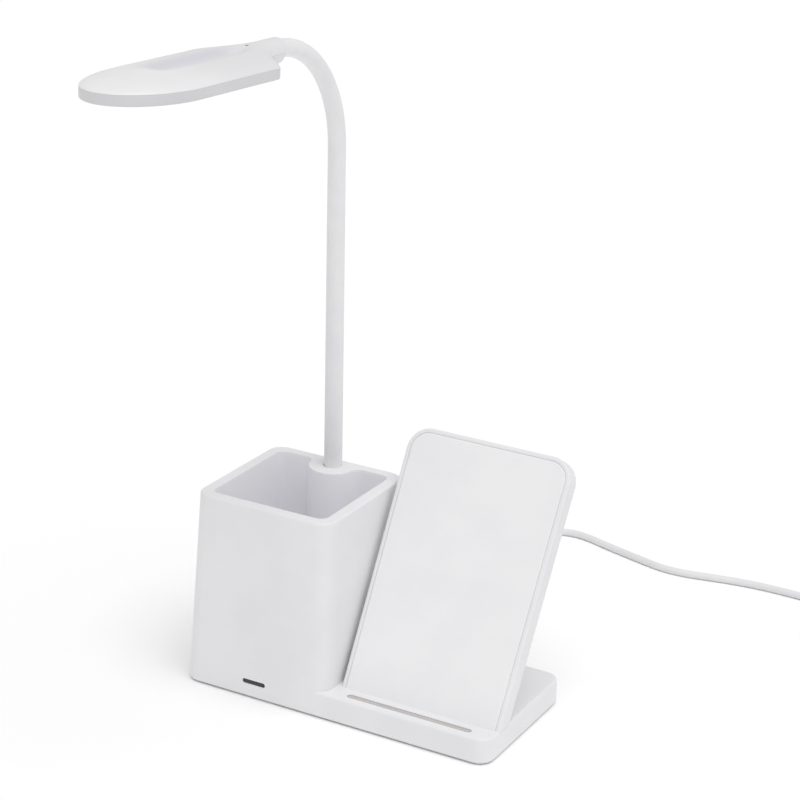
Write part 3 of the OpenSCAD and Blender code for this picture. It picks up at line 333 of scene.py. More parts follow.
def strap():
    """Hook-and-loop strap: short loops over a weave."""
    m = Finish("tie_strap", Specular_IOR_Level=0.2)
    loops = m.noise(0.5, 3, rough=0.7)
    weave = m.node("ShaderNodeTexWave", {"bands_direction": "Y"},
                   {"Vector": m.place(), "Scale": 0.5}, out="Fac")
    m.feed("Base Color", m.mix(loops, (0.6, 0.6, 0.62), (0.74, 0.74, 0.76)))
    m.feed("Roughness", 0.85 + 0.1 * loops)
    m.bump(loops + 0.4 * weave, 0.12)
    return m.mat


WHITE = moulded("white_shell", (0.81, 0.81, 0.823), (0.785, 0.785, 0.8))
# Painted light: the cup's inside is the white plastic coloured paler and faintly violet, so its shaded hollow
# comes out light
CUP_INSIDE_PAINTED_LIGHT = moulded("cup_inside_painted_light", (0.95, 0.943, 0.972), (0.935, 0.928, 0.96), grain=0.5, rough=0.5)
PLATE = moulded("rest_plate", (0.85, 0.85, 0.86), (0.825, 0.825, 0.838), rough=0.36)
HEAD = head_shell_painted_light()
# Painted shade: the skirt is the white plastic coloured darker and faintly violet, for the shade on its
# upright sides
SKIRT = moulded("skirt_painted_shade", (0.65, 0.643, 0.658), (0.63, 0.623, 0.64), rough=0.4)
SILICONE = sleeve_rubber()
CORD_SKIN = moulded("cord_jacket", (0.78, 0.78, 0.79), (0.74, 0.74, 0.755), grain=1.2, depth=0.02, rough=0.45)
STRIP = moulded("grip_strip", (0.58, 0.54, 0.53), (0.5, 0.465, 0.455), grain=0.7, depth=0.03, rough=0.6)
PAD = moulded("anti_slip_pad", (0.45, 0.45, 0.46), (0.38, 0.38, 0.39), grain=1.6, depth=0.12, rough=0.8)
DARK = moulded("smoked_window", (0.035, 0.035, 0.04), (0.025, 0.025, 0.03), grain=2, depth=0.002, rough=0.14)
TOUCH = moulded("touch_lens", (0.3, 0.3, 0.32), (0.26, 0.26, 0.28), grain=1, rough=0.3)
CHIPS = moulded("chip_moulding", (0.03, 0.03, 0.033), (0.045, 0.045, 0.05), grain=0.6, rough=0.5)
NATURAL = moulded("nylon", (0.72, 0.72, 0.68), (0.66, 0.66, 0.62), rough=0.45)
LEADS = moulded("lead_skins", (0.62, 0.12, 0.1), (0.54, 0.1, 0.08), grain=1, rough=0.4)
STEEL = plated("zinc_plate", (0.6, 0.61, 0.63))
NICKEL = plated("plug_nickel", (0.74, 0.74, 0.75), rough=0.2, depth=0.002)
# What the solids that stay as the part has them are made of
MATERIALS = {
    STEEL: ["cover_screws", "rest_screws", "board_screws", "head_screws", "neck_ferrule", "neck_retainer",
            "hose_clip", "touch_spring", *(f"hose_{k}" for k in range(7))],
    NICKEL: ["plug_shell"], NATURAL: ["neck_bush", "plug_tongue"], DARK: ["ferrite_sheet"],
    CHIPS: ["board_parts"], PAD: ["grip_pad"], WHITE: ["bottom_cover"],
    LEADS: ["inner_leads", *(f"lead_{k}" for k in range(7))],
    cast_iron(): ["ballast_plate"], winding(): ["charging_coil"], opal(): ["head_diffuser"],
    board_lacquer(): ["main_board", "status_board", "charger_board", "touch_board"],
    phosphor(): ["leds"],
    moulded("lamp_board", (0.84, 0.84, 0.83), (0.78, 0.78, 0.77), rough=0.3): ["led_board", "reflector"],
}


# ======================= surfaces =======================

# Points nearer than MEET are one and edges under NO_LENGTH none, in metres; CRISP is in degrees
MEET, NO_LENGTH, CRISP = 2e-6, 1e-7, 35


def piece(name, body, material, *grids, slot="white_plastic", replaces=()):
    """A smooth mesh of grids, each rows by columns by XYZ in mm, or a row of points to fill."""
    verts, faces, base = [], [], 0
    for g in grids:
        g = np.asarray(g, float)
        if g.ndim == 2:
            faces.append([tuple(range(base, base + len(g)))])
            verts.append(g)
            base += len(g)
            continue
        rows, cols = g.shape[:2]
        i, j = np.meshgrid(np.arange(rows - 1), np.arange(cols - 1), indexing="ij")
        a = (base + i * cols + j).ravel()
        faces.append(np.stack([a, a + 1, a + cols + 1, a + cols], 1).tolist())
        verts.append(g.reshape(-1, 3))
        base += rows * cols
    mesh = bpy.data.meshes.new(name)
    mesh.from_pydata((np.concatenate(verts) * MM).tolist(), [], sum(faces, []))
    obj = bpy.data.objects.new(name, mesh)
    bpy.context.scene.collection.objects.link(obj)
    join(obj)
    mesh.materials.append(material)
    if body:
        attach(obj, body)
    if replaces:
        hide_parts(*replaces)
    return obj


def join(obj):
    """Points that meet are merged, faces turned outwards, and edges over CRISP degrees kept crisp."""
    bm = bmesh.new()
    bm.from_mesh(obj.data)
    bmesh.ops.remove_doubles(bm, verts=bm.verts, dist=MEET)
    bmesh.ops.dissolve_degenerate(bm, edges=bm.edges, dist=NO_LENGTH)
    bmesh.ops.recalc_face_normals(bm, faces=bm.faces)
    bm.to_mesh(obj.data)
    bm.free()
    obj.data.shade_smooth()
    obj.data.set_sharp_from_angle(angle=radians(CRISP))


def cut(obj, *cutters):
    """obj less each cutter, which is deleted."""
    for cutter in cutters:
        step = obj.modifiers.new("cut", "BOOLEAN")
        step.operation, step.solver, step.object = "DIFFERENCE", "EXACT", cutter
        bpy.context.view_layer.update()
        result = obj.evaluated_get(bpy.context.evaluated_depsgraph_get())
        done = bpy.data.meshes.new_from_object(result)
        obj.modifiers.clear()
        obj.data = done
        bpy.data.objects.remove(cutter)
    join(obj)


def tool(name, *grids):
    """A closed mesh to cut with."""
    return piece(name, None, WHITE, *grids)


def prism(name, rows):
    """A tool between two like rings, rows[0] and rows[1]."""
    return tool(name, closed(rows), rows[0][::-1], rows[1])


def smooth(t):
    """0 below 0, 1 above 1, and 3t^2 - 2t^3 between."""
    t = np.clip(t, 0, 1)
    return t * t * (3 - 2 * t)


def ramp(value, start, end):
    """0 at start and before it, 1 at end and past it, smooth between; end may be the smaller."""
    return smooth((value - start) / (end - start))


def arc(cx, cy, r, a0, a1, n):
    """n points on a circle of radius r about (cx, cy), from a0 to a1 degrees."""
    a = np.radians(np.linspace(a0, a1, n))
    return np.stack([cx + r * np.cos(a), cy + r * np.sin(a)], 1)


def line(p, q, n):
    """n points between p and q, without both ends."""
    t = np.linspace(0, 1, n + 2)[1:-1, None]
    return np.array(p, float) * (1 - t) + np.array(q, float) * t


def at_height(ring, z):
    """A plan ring lifted to height z."""
    return np.column_stack([ring, np.full(len(ring), float(z))])


def closed(rows):
    """A grid whose columns close on themselves."""
    g = np.array(rows)
    return np.concatenate([g, g[:, :1]], axis=1)


def fillet(r, up, n):
    """Rows (inset, height) of a quarter round of radius r that stands up (1) or turns over (-1)."""
    a = np.linspace(0, pi / 2, n)
    if up > 0:
        return [(r * (1 - sin(t)), r * (1 - cos(t))) for t in a]
    return [(r * (1 - cos(t)), -r * (1 - sin(t))) for t in a]


# Points of a box_ring's sides, back and corners, and the number of the first on its back
SIDE_N, BACK_N, CORNER_N = 8, 61, 9
BACK_FROM = 3 * CORNER_N + 2 * SIDE_N


def box_ring(x0, x1, y0, y1, r, back=None):
    """Plan outline with round corners, from the front left corner round to the right, back and left.

    back gives the points of the back side between its corners, from right to left.
    """
    r = max(r, 0.3)
    if back is None:
        back = line((x1 - r, y1), (x0 + r, y1), BACK_N)
    return np.concatenate([
        arc(x0 + r, y0 + r, r, 180, 270, CORNER_N), line((x0 + r, y0), (x1 - r, y0), SIDE_N),
        arc(x1 - r, y0 + r, r, 270, 360, CORNER_N), line((x1, y0 + r), (x1, y1 - r), SIDE_N),
        arc(x1 - r, y1 - r, r, 0, 90, CORNER_N), back,
        arc(x0 + r, y1 - r, r, 90, 180, CORNER_N), line((x0, y1 - r), (x0, y0 + r), SIDE_N),
    ])


# ======================= base and cup =======================


def foot_ring(z, inset):
    """The base's outline: upright at its right end, with the cup's draft on the other sides."""
    i = inset + z * CUP_LEAN
    return box_ring(-BASE_W / 2 + i, BASE_W / 2 - inset, -BASE_D / 2 + i, BASE_D / 2 - i,
                    BASE_CORNER - inset)


def slot_plan(half, r):
    """Outline of a slot with ends of radius r about two points half to each side of its middle."""
    return np.concatenate([arc(half, 0, r, -90, 90, 14), arc(-half, 0, r, 90, 270, 14)])


def slot_tool(name, length, width, place, depth):
    """A slot with round ends, a prism of the given length and width from depth[0] to depth[1].

    place puts its plan point (a, b) and depth c into space.
    """
    plan = slot_plan(length / 2 - width / 2, width / 2)
    return prism(name, [np.array([place(a, b, c) for a, b in plan]) for c in depth])


def window_place(a, b, c):
    """Across, up and into the cup's front at the status window."""
    return CUP_X + a, -BASE_D / 2 + WINDOW_Z * CUP_LEAN + c, WINDOW_Z + b


def strip_place(a, b, c):
    """Along, across and up from the base's top at the grip strip."""
    return STRIP_X + a, STRIP_Y + b, BASE_T + c


def foot():
    """Base: rounded lower edge, sides, rounded top edge and deck, with a lip round the bottom cover."""
    rim = [(PAD_T + dz, i) for i, dz in fillet(EDGE_R, 1, 9)]
    top = [(BASE_T + dz, i) for i, dz in fillet(TOP_EDGE_R, -1, 6)]
    sides = [(PAD_T + EDGE_R + 0.4, 0), (BASE_T - TOP_EDGE_R - 0.4, 0)]
    rows = [at_height(foot_ring(z, i), z) for z, i in rim + sides + top]
    deck = at_height(foot_ring(BASE_T, TOP_EDGE_R + 0.5), BASE_T)
    lip_plan = box_ring(-BASE_W / 2 + LIP, BASE_W / 2 - LIP, -BASE_D / 2 + LIP, BASE_D / 2 - LIP,
                        BASE_CORNER - LIP)
    under = [at_height(lip_plan, PAD_T + COVER_T + 0.1), at_height(lip_plan, PAD_T)]
    obj = piece("base_moulding", "base", WHITE, closed([*under, *rows, deck]), deck, under[0][::-1],
                replaces=["body_shell"])
    cut(obj,
        slot_tool("strip_cut", STRIP_LEN, STRIP_W, strip_place, (1, -STRIP_DEPTH)),
        slot_tool("window_cut", WINDOW_LEN, WINDOW_H, window_place, (-3, 1.2)),
        relief_cut())


def relief_cut():
    """Bore in the base's back for the strain relief."""
    ring = arc(0, 0, RELIEF_R, 0, 360, 33)[:-1]
    rows = [np.column_stack([CORD_X + ring[:, 0], np.full(len(ring), y), CORD_Z + ring[:, 1]])
            for y in (BASE_D / 2 + 2, BASE_D / 2 - 4)]
    return prism("relief_cut", rows)


def cup_ring(z, inset):
    """The cup's outline; along the back its points stand opposite those of the hollow."""
    i = inset + z * CUP_LEAN
    y = BASE_D / 2 - i
    opposite = np.sort(liner_ring(CUP_H, 0)[BACK_FROM:BACK_FROM + BACK_N, 0])[::-1]
    return box_ring(CUP_X - CUP_W / 2 + i, CUP_X + CUP_W / 2 - i, -y, y, BASE_CORNER - inset,
                    np.column_stack([opposite, np.full(BACK_N, y)]))


def liner_ring(z, inset):
    """Outline of the cup's hollow: its back side runs round the neck's boss, with a fillet at each side."""
    i = RIM_W + CUP_H * CUP_LEAN + (CUP_H - z) * LINER_LEAN + inset
    x0, x1, y0, y1 = CUP_X - CUP_W / 2 + i, CUP_X + CUP_W / 2 - i, -BASE_D / 2 + i, BASE_D / 2 - i
    r, f = BOSS_R + inset, BOSS_FILLET - inset
    fy = y1 - f - NECK_Y
    side = sqrt((r + f) ** 2 - fy**2)
    meet = np.degrees(atan2(fy, side))
    corner = max(LINER_R - inset, 0.3)
    right = np.concatenate([
        line((x1 - corner, y1), (NECK_X + side, y1), 6),
        arc(NECK_X + side, NECK_Y + fy, f, 90, 180 + meet, 10),
    ])
    front = arc(NECK_X, NECK_Y, r, meet, -180 - meet, BACK_N - 2 * len(right) + 2)[1:-1]
    left = right[::-1] * (-1, 1) + (2 * NECK_X, 0)
    back = np.concatenate([right, front, left])
    return box_ring(x0, x1, y0, y1, corner, back)


def cup():
    """Cup: drafted walls, flat rim, and a hollow with rounded floor edges behind which the boss rises."""
    floor_r, lip_r = 3.0, 0.6
    outer = [(BASE_T - TOP_EDGE_R, 0), (BASE_T + 2, 0), (CUP_H - RIM_EDGE - 1, 0)]
    outer += [(CUP_H + dz, i) for i, dz in fillet(RIM_EDGE, -1, 7)]
    outer += [(CUP_H, RIM_EDGE + 0.4)]
    lip = [(CUP_H, -lip_r - 0.3), (CUP_H, -lip_r)]
    lip += [(CUP_H - lip_r * (1 - cos(t)), -lip_r * (1 - sin(t))) for t in np.linspace(0, pi / 2, 5)]
    wall = [(CUP_H - 2, 0), (CUP_FLOOR + floor_r + 1, 0)]
    floor = [(CUP_FLOOR + h, i) for i, h in reversed(fillet(floor_r, 1, 6))]
    floor += [(CUP_FLOOR, floor_r + 0.6)]
    outside = [at_height(cup_ring(z, i), z) for z, i in outer]
    inside = [at_height(liner_ring(z, i), z) for z, i in lip + wall + floor]
    obj = piece("cup_moulding", "base", WHITE, closed(outside + inside[:6]), outside[0][::-1],
                closed(inside[5:]), inside[-1])
    # The inside's paler material is painted light
    obj.data.materials.append(CUP_INSIDE_PAINTED_LIGHT)
    hole = arc(NECK_X, NECK_Y, SLEEVE_R + NECK_HOLE_GAP, 0, 360, 49)[:-1]
    cut(obj, prism("neck_cut", [at_height(hole, CUP_H + 1), at_height(hole, CUP_H - 3)]))
    obj.data.polygons.foreach_set("material_index", inside_painted_light_mask(obj))


def inside_painted_light_mask(obj):
    """1 for each face inside the hollow, below the rim: these faces take the paler colour of painted light.
    """
    mid = np.zeros(len(obj.data.polygons) * 3)
    obj.data.polygons.foreach_get("center", mid)
    x, y, z = mid.reshape(-1, 3).T / MM
    i = RIM_W + CUP_H * CUP_LEAN - 1.0
    within = (abs(x - CUP_X) < CUP_W / 2 - i) & (abs(y) < BASE_D / 2 - i) & (z < CUP_H - 0.7)
    return within.astype(np.int32)


def strip_and_window():
    """The grip strip, a little domed, and the smoked lens of the status window."""
    def rows_of(levels, length, width, gap, place):
        """Rings of a slot gap inside a slot of length and width, each at its (inset, depth) of levels."""
        half, r = length / 2 - width / 2, width / 2 - gap
        return [np.array([place(a, b, c) for a, b in slot_plan(half, r - inset)]) for inset, c in levels]

    dome = [(0, -STRIP_DEPTH + 0.05), (0, -0.55), (0.12, -0.32), (0.4, -0.2), (0.9, -0.12), (1.5, -0.1)]
    rows = rows_of(dome, STRIP_LEN, STRIP_W, 0.15, strip_place)
    piece("strip_insert", "base", STRIP, closed(rows), rows[-1], slot="grey_rubber", replaces=["grip_strip"])
    lens = [(0, 1.1), (0, 0.3), (0.08, 0.16), (0.25, 0.1), (0.8, 0.08)]
    rows = rows_of(lens, WINDOW_LEN, WINDOW_H, 0.08, window_place)
    piece("window_lens", "base", DARK, closed(rows), rows[-1], slot="dark_parts", replaces=["status_window"])


# ======================= charging rest =======================


def on_rest(x, u, out):
    """A point across, up the slope and out of the rest's face."""
    y = PANEL_Y + u * RISE[0] - out * RISE[1]
    return np.stack([x + 0 * u, y, BASE_T + u * RISE[1] + out * RISE[0]], -1)


def rest_ring(inset, out):
    """The rest's outline from its foot at the left, over the top and down at the right.

    Its ends reach PANEL_SINK below the base's top, at this depth out of the face.
    """
    foot_u = (-PANEL_SINK - out * RISE[0]) / RISE[1]
    r = PANEL_CORNER - inset
    top = PANEL_LEN - inset

    def left(u):
        return PANEL_LEFT - PANEL_SLOPE * u + inset

    lx, rx = left(top - r) + r, PANEL_RIGHT - inset - r
    side = np.linspace(foot_u, top - r, 14)[:-1]
    plan = np.concatenate([
        np.column_stack([left(side), side]), arc(lx, top - r, r, 180, 90, 14),
        line((lx, top), (rx, top), 8), arc(rx, top - r, r, 90, 0, 14),
        np.column_stack([np.full(13, PANEL_RIGHT - inset), side[::-1]]),
    ])
    return on_rest(plan[:, 0], plan[:, 1], out)


def rest():
    """Casing: rounded edges, a rim round the plate and a fine groove; and the slightly proud plate."""
    e = PANEL_EDGE
    seam = PLATE_INSET - 0.1
    rows = [(seam + 0.5, -PLATE_SEAM), (seam, -PLATE_SEAM), (seam, -0.12), (seam - 0.12, 0), (e + 0.5, 0)]
    rows += [(e * (1 - cos(t)), -e + e * sin(t)) for t in np.linspace(pi / 2, 0, 7)]
    rows += [(0, -e - 0.5), (0, -PANEL_T + e + 0.5)]
    rows += [(i, -PANEL_T + h) for i, h in reversed(fillet(e, 1, 7))] + [(e + 0.6, -PANEL_T)]
    shell = [rest_ring(inset, out) for inset, out in rows]
    piece("rest_shell", "base", WHITE, np.array(shell), shell[-1][::-1], replaces=["rest_casing"])
    inner, lift = PLATE_INSET + 0.15, PLATE_PROUD
    levels = [(0, -0.6), (0, lift - 0.45), (0.06, lift - 0.25), (0.2, lift - 0.1), (0.45, lift), (1.2, lift)]
    plate = [rest_ring(inner + i, z) for i, z in levels]
    piece("rest_plate", "base", PLATE, np.array(plate), plate[-1], replaces=["front_plate"])


# ======================= neck =======================


def on_neck(x, y, z):
    """A point of the frame that leans to the left with the neck."""
    a = radians(NECK_LEAN)
    return np.stack([NECK_X + x * cos(a) - z * sin(a), NECK_Y + y + 0 * x,
                     LEAN_Z + z * cos(a) + x * sin(a)], -1)


def neck_place(s):
    """(y, z, tilt) of the neck's middle at s mm along it from the first bending place."""
    t = np.clip((s - ARC_Z) / BEND_R, 0, radians(BEND_ANGLE))
    over = np.maximum(s - NECK_END, 0)
    y = -BEND_R * (1 - np.cos(t)) - over * np.sin(t)
    return y, np.minimum(s, ARC_Z) + BEND_R * np.sin(t) + over * np.cos(t), t


def neck_tube(s):
    """Rings of the sleeve about the neck's middle at s, square to it; they taper towards the head."""
    y, z, t = (v[:, None] for v in neck_place(s))
    a = np.linspace(0, 2 * pi, 33)
    r = (SLEEVE_R + 0.12 - 0.35 * s / NECK_END)[:, None]
    out = r * np.sin(a)
    return on_neck(r * np.cos(a), y + out * np.cos(t), z + out * np.sin(t))


def neck():
    """One silicone sleeve, in lengths that each cover one joint and meet midway between joints."""
    step = BEND_R * radians(BEND_STEP)
    joints = [0.0, LEAN_STEP] + [ARC_Z + step * k for k in range(4)]
    bodies = [*(f"neck_{k}" for k in range(6)), "head"]
    # how far before and after its joint each length's end points are taken; nothing uses them
    reach = [20, 20, 11, 11, 11, 11]
    cuts = [NECK_ROOT] + [(a + b) / 2 for a, b in zip(joints, joints[1:])] + [joints[5] + step / 2]
    for k, joint in enumerate(joints):
        low, high = cuts[k], cuts[k + 1]
        s = np.linspace(low, high, max(int((high - low) / 1.6), 12))
        obj = piece(f"sleeve_length_{k}", None, SILICONE, neck_tube(s), slot="white_silicone",
                    replaces=[f"sleeve_{k}"])
        ends = [on_neck(0.0, *neck_place(joint + d)[:2]) * MM for d in (-reach[k], reach[k])]
        bodies[k + 1]
        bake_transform(obj)
    piece("sleeve_root", "neck_0", SILICONE, neck_tube(np.linspace(NECK_ROOT - 8, NECK_ROOT, 6)),
          slot="white_silicone")
    piece("sleeve_end", "head", SILICONE, neck_tube(np.linspace(cuts[-1], NECK_END + 4.8, 14)),
          slot="white_silicone", replaces=["sleeve_6"])


# ======================= lamp head =======================

# Stations along the head up to the tip, and round it
ALONG_N, TIP_N = 70, 30


def on_head(x, u, z):
    """A point across, along from the neck's end towards the tip, and up from the neck's axis."""
    a = radians(BEND_ANGLE)
    y0, z0 = BEND_R * (cos(a) - 1), ARC_Z + BEND_R * sin(a)
    # along the neck is (-sin a, cos a), and its top side (cos a, sin a)
    return on_neck(x + 0 * u, y0 - u * sin(a) + z * cos(a), z0 + u * cos(a) + z * sin(a))


def round_max(a, b, k):
    """The larger of a and b, rounded over a difference of k where they meet."""
    return np.maximum(a, b) + (np.maximum(k - abs(a - b), 0) / k) ** 2 * k / 4


def round_min(a, b, k):
    """The smaller of a and b, rounded in the same way."""
    return -round_max(-a, -b, k)


def side_at(u):
    """Half width behind the tip: a collar, a sloping shoulder and a straight side, joined smoothly."""
    half = HEAD_W / 2 + 0 * u
    shoulder = half - (SHOULDER_U - u) * SHOULDER_SLOPE
    return round_min(half, round_max(COLLAR_HALF + 0 * u, shoulder, COLLAR_ROUND), SHOULDER_ROUND)


def head_half(u, inset=0.0):
    """Half width at u: side_at up to the tip, then an ellipse."""
    t = np.clip((u - TIP_U) / (TIP_LEN - inset), 0, 1)
    return np.where(u <= TIP_U, side_at(np.minimum(u, TIP_U)) - inset,
                    (HEAD_W / 2 - inset) * np.sqrt(1 - t**2))


def ridge(u):
    """Height of the crown's middle over the skirt: down from the collar, level, and round at the tip."""
    fall = TIP_U - TIP_FALL
    t = np.clip((u - fall) / (HEAD_LEN - fall), 0, 1)
    rear = COLLAR_H + SKIRT_TOP
    return (rear + (CROWN_H - rear) * ramp(u, *COLLAR_TO_CROWN)) * (1 - t**TIP_POWER) ** CROWN_POWER


def dish(u, v):
    """Depth of the shallow dish: a bell across, rising and falling smoothly at its ends."""
    across = np.clip(1 - (v / DISH_HALF) ** 2, 0, 1) ** 2
    along = ramp(u, DISH_START, DISH_START + DISH_RISE) * ramp(u, DISH_END, DISH_END - DISH_FALL)
    return DISH_DEPTH * across * along


def crown(u, s):
    """Height over the skirt at u and at the share s of the half width."""
    return ridge(u) * np.clip(1 - s**2, 0, 1) ** CROWN_POWER - dish(u, s * HEAD_W / 2)


def head_stations(u0, inset=0.0):
    """Places along the head, close together round the tip."""
    tip = TIP_U + (TIP_LEN - inset) * np.sin(np.linspace(0, pi / 2, TIP_N))
    return np.concatenate([np.linspace(u0, TIP_U, ALONG_N)[:-1], tip])


def outline(inset, z, u0=COLLAR_START):
    """The head's plan outline at height z, from the rear right over the tip to the rear left."""
    u = head_stations(u0, inset)
    h = head_half(u, inset)
    u, x = np.concatenate([u, u[-2::-1]]), np.concatenate([h, -h[-2::-1]])
    return on_head(x, u, z)


def head():
    """Crown over a skirt with a fine seam between them, and the collar's underside."""
    u = head_stations(COLLAR_START)
    s = -np.cos(np.linspace(0, pi, 61))
    uu, ss = np.meshgrid(u, s, indexing="ij")
    top = on_head(head_half(uu) * ss, uu, crown(uu, ss) - SKIRT_TOP)
    flat = outline(0, -SKIRT_TOP)
    obj = piece("crown", "head", HEAD, top, flat, top[0], replaces=["head_cover"])
    # Store the shares of painted shade and painted light on the crown's points
    for key, values in crown_painted_light(obj).items():
        obj.data.attributes.new(key, "FLOAT", "POINT").data.foreach_set("value", values)
    cut(obj, neck_bore("crown_bore", COLLAR_START - 1), touch_tool())
    seam = [(i, -SKIRT_TOP - d) for i, d in [(0.3, 0.01), (0.18, 0.02), (0.06, 0.08), (0.0, 0.2)]]
    side = [(0.0, -SKIRT_TOP - 0.9), (0.0, SKIRT_LOW + 1.2)]
    edge = [(SKIRT_EDGE * (1 - cos(t)), SKIRT_LOW + SKIRT_EDGE * (1 - sin(t)))
            for t in np.linspace(0, pi / 2, 7)]
    rows = [outline(inset, z, SKIRT_FROM) for inset, z in seam + side + edge]
    skirt = piece("skirt", "head", SKIRT, closed(rows), rows[0], rows[-1][::-1], replaces=["head_housing"])
    cut(skirt, chamber_tool())
    collar()


# The head's painted light and shade as ramps from and to, in mm: a cool band of painted shade across with a
# weaker side towards the right, how it starts along the head and how long it runs out, and the painted light
# of the paler tip
BAND_LEFT, BAND_RIGHT, WEAK_LEFT, WEAK_RIGHT, WEAK = (-12, -6), (2, -5), (-2, 2), (11, 1), 0.45
TONE_START, TONE_RUN_OUT, TONE_PAST_TIP, TONE_SLANT, PALE_TIP = (28, 52), 22, 10, 0.5, (65, 130)


def crown_painted_light(obj):
    """Two shares for each point of the crown: dish, painted shade in a band along its far flank, and tip,
    painted light that grows to the tip.
    """
    p = np.zeros(len(obj.data.vertices) * 3)
    obj.data.vertices.foreach_get("co", p)
    origin, along, across = (on_head(*v) for v in ((0.0, 0.0, 0.0), (0.0, 1.0, 0.0), (1.0, 0.0, 0.0)))
    p = p.reshape(-1, 3) / MM - origin
    u, v = p @ (along - origin), p @ (across - origin)
    band = ramp(v, *BAND_LEFT) * ramp(v, *BAND_RIGHT) + WEAK * ramp(v, *WEAK_RIGHT) * ramp(v, *WEAK_LEFT)
    front = TIP_U + TONE_PAST_TIP - TONE_SLANT * np.clip(v - BAND_LEFT[1], 0, 12)
    return {"dish": band * ramp(u, *TONE_START) * ramp(u, front, front - TONE_RUN_OUT),
            "tip": ramp(u, *PALE_TIP)}


def neck_bore(name, start):
    """The sleeve's bore in the head, from start to 6 mm along it."""
    a = np.linspace(0, 2 * pi, 49)[:-1]
    x, z = HEAD_BORE_R * np.cos(a), HEAD_BORE_R * np.sin(a)
    return prism(name, [on_head(x, u, z) for u in (start, 6)])


def collar():
    """The collar's round underside: a half tube with a soft rear edge, whose front runs out in a nose."""
    a = np.linspace(pi, 2 * pi, 41)
    rear = [(COLLAR_UNDER + COLLAR_EDGE * (1 - sin(t)), COLLAR_EDGE * (1 - cos(t)))
            for t in np.linspace(0, pi / 2, 7)[::-1]]
    nose = [(NOSE_START + NOSE_LEN * sin(t), COLLAR_UNDER_R * (1 - cos(t)))
            for t in np.linspace(0, pi / 2 - 0.02, 14)]
    rows = []
    for u, less in rear + nose:
        r = COLLAR_UNDER_R - less
        z = np.minimum(r * np.sin(a), -SKIRT_TOP - 0.02)
        rows.append(on_head(r * np.cos(a), u, z))
    obj = piece("collar_underside", "head", HEAD, closed(rows), rows[0], rows[-1][::-1])
    cut(obj, neck_bore("collar_bore", COLLAR_UNDER - 3))


def chamber_tool():
    """The light's chamber, cut into the underside; its outline runs DIFFUSER_MARGIN inside the head's."""
    rows = [outline(DIFFUSER_MARGIN, z, CHAMBER_U) for z in (SKIRT_LOW - 1, -SKIRT_TOP - CHAMBER_ROOF)]
    return tool("chamber", closed(rows), rows[0], rows[1][::-1])


def touch_tool():
    """The touch dot's bore through the crown."""
    a = np.linspace(0, 2 * pi, 25)[:-1]
    x, u = TOUCH_BORE_R * np.cos(a), TOUCH_U + TOUCH_BORE_R * np.sin(a)
    return prism("touch_bore", [on_head(x, u, z) for z in (3, 12)])


def touch_dot():
    """Dark lens of the touch switch: a low dome in its bore."""
    a = np.linspace(0, 2 * pi, 41)
    level = crown(TOUCH_U, 0) - SKIRT_TOP
    rows = [(TOUCH_R, 3.6), (TOUCH_R, level - 0.15), (TOUCH_R - 0.08, level - 0.05), (0.5, level),
            (0.2, level + 0.02)]
    grid = np.array([on_head(r * np.cos(a), TOUCH_U + r * np.sin(a), z) for r, z in rows])
    piece("touch_lens", "head", TOUCH, grid, grid[-1, :-1], slot="dark_parts", replaces=["touch_mark"])


# ======================= supply cord =======================

# Route over the desk, as the part's cord has it
CORD_ROUTE = [
    (-25, 66.75, 8.5), (-25, 73, 8.3), (-25.1, 81, 7.3), (-25.4, 90, 5.5), (-25.8, 99, 3.7),
    (-26.2, 108, 2.6), (-26.6, 118, 2.2), (-27, 130, 2.2), (-27.3, 143, 2.2), (-27.4, 156, 2.2),
    (-27.4, 169, 2.2), (-27.2, 182, 2.2), (-26.8, 195, 2.2), (-25.8, 207, 2.2), (-24, 219, 2.2),
    (-21, 230.5, 2.2), (-16.6, 241, 2.2), (-10.4, 250, 2.2), (-2, 256.4, 2.2), (8, 258.6, 2.2),
    (19, 256.9, 2.2), (31, 252.8, 2.2), (43, 249.1, 2.2), (55, 245.6, 2.2), (67, 242.2, 2.2),
    (79, 240.1, 2.2), (91, 240.6, 2.2), (104, 243.3, 2.2), (118, 246.3, 2.2), (132, 248.4, 2.2),
    (146, 249.3, 2.2), (160, 249.2, 2.2), (174, 248.4, 2.3), (188, 247.2, 2.6), (202, 246.3, 3),
    (216.6, 246, 3.15),
]
TURN_STEP, TURN_POINTS = CORD_D + 0.6, 24
COIL_OVER = 2 * COIL_REVERSE
COIL_Y = CORD_ROUTE[-1][1] - COIL_IN - COIL_REVERSE * TURN_STEP
COIL_Z, PLUG_Z = CORD_ROUTE[-1][2], PLUG_H / 2


def coil_radius(t):
    """In towards the middle until COIL_REVERSE turns, out again above, and last a step outwards."""
    a = abs(t - COIL_REVERSE)
    step = np.where(a < 0.25, 2 * a * a + 0.125, a)
    return COIL_IN + TURN_STEP * (step + 1.3 * ramp(t, COIL_OVER - 0.1, COIL_OVER + COIL_TAIL))


def coil_line():
    """Points of the coil from the route's end to the plug."""
    t = np.arange(1, round(TURN_POINTS * (COIL_OVER + COIL_TAIL)) + 1) / TURN_POINTS
    r = coil_radius(t)
    z = COIL_Z + TURN_STEP * ramp(t, COIL_REVERSE - 0.25, COIL_REVERSE + 0.25)
    z += (PLUG_Z - COIL_Z - TURN_STEP) * ramp(t, COIL_OVER, COIL_OVER + COIL_TAIL)
    turns = np.stack([COIL_X + r * np.sin(2 * pi * t), COIL_Y + r * np.cos(2 * pi * t), z], 1)
    start = (COIL_X - 0.5, CORD_ROUTE[-1][1], COIL_Z)
    return np.concatenate([[start], turns, [(PLUG_X, COIL_Y - CORD_D, PLUG_Z)]])


PLUG_X = COIL_X + float(coil_radius(COIL_OVER + COIL_TAIL))


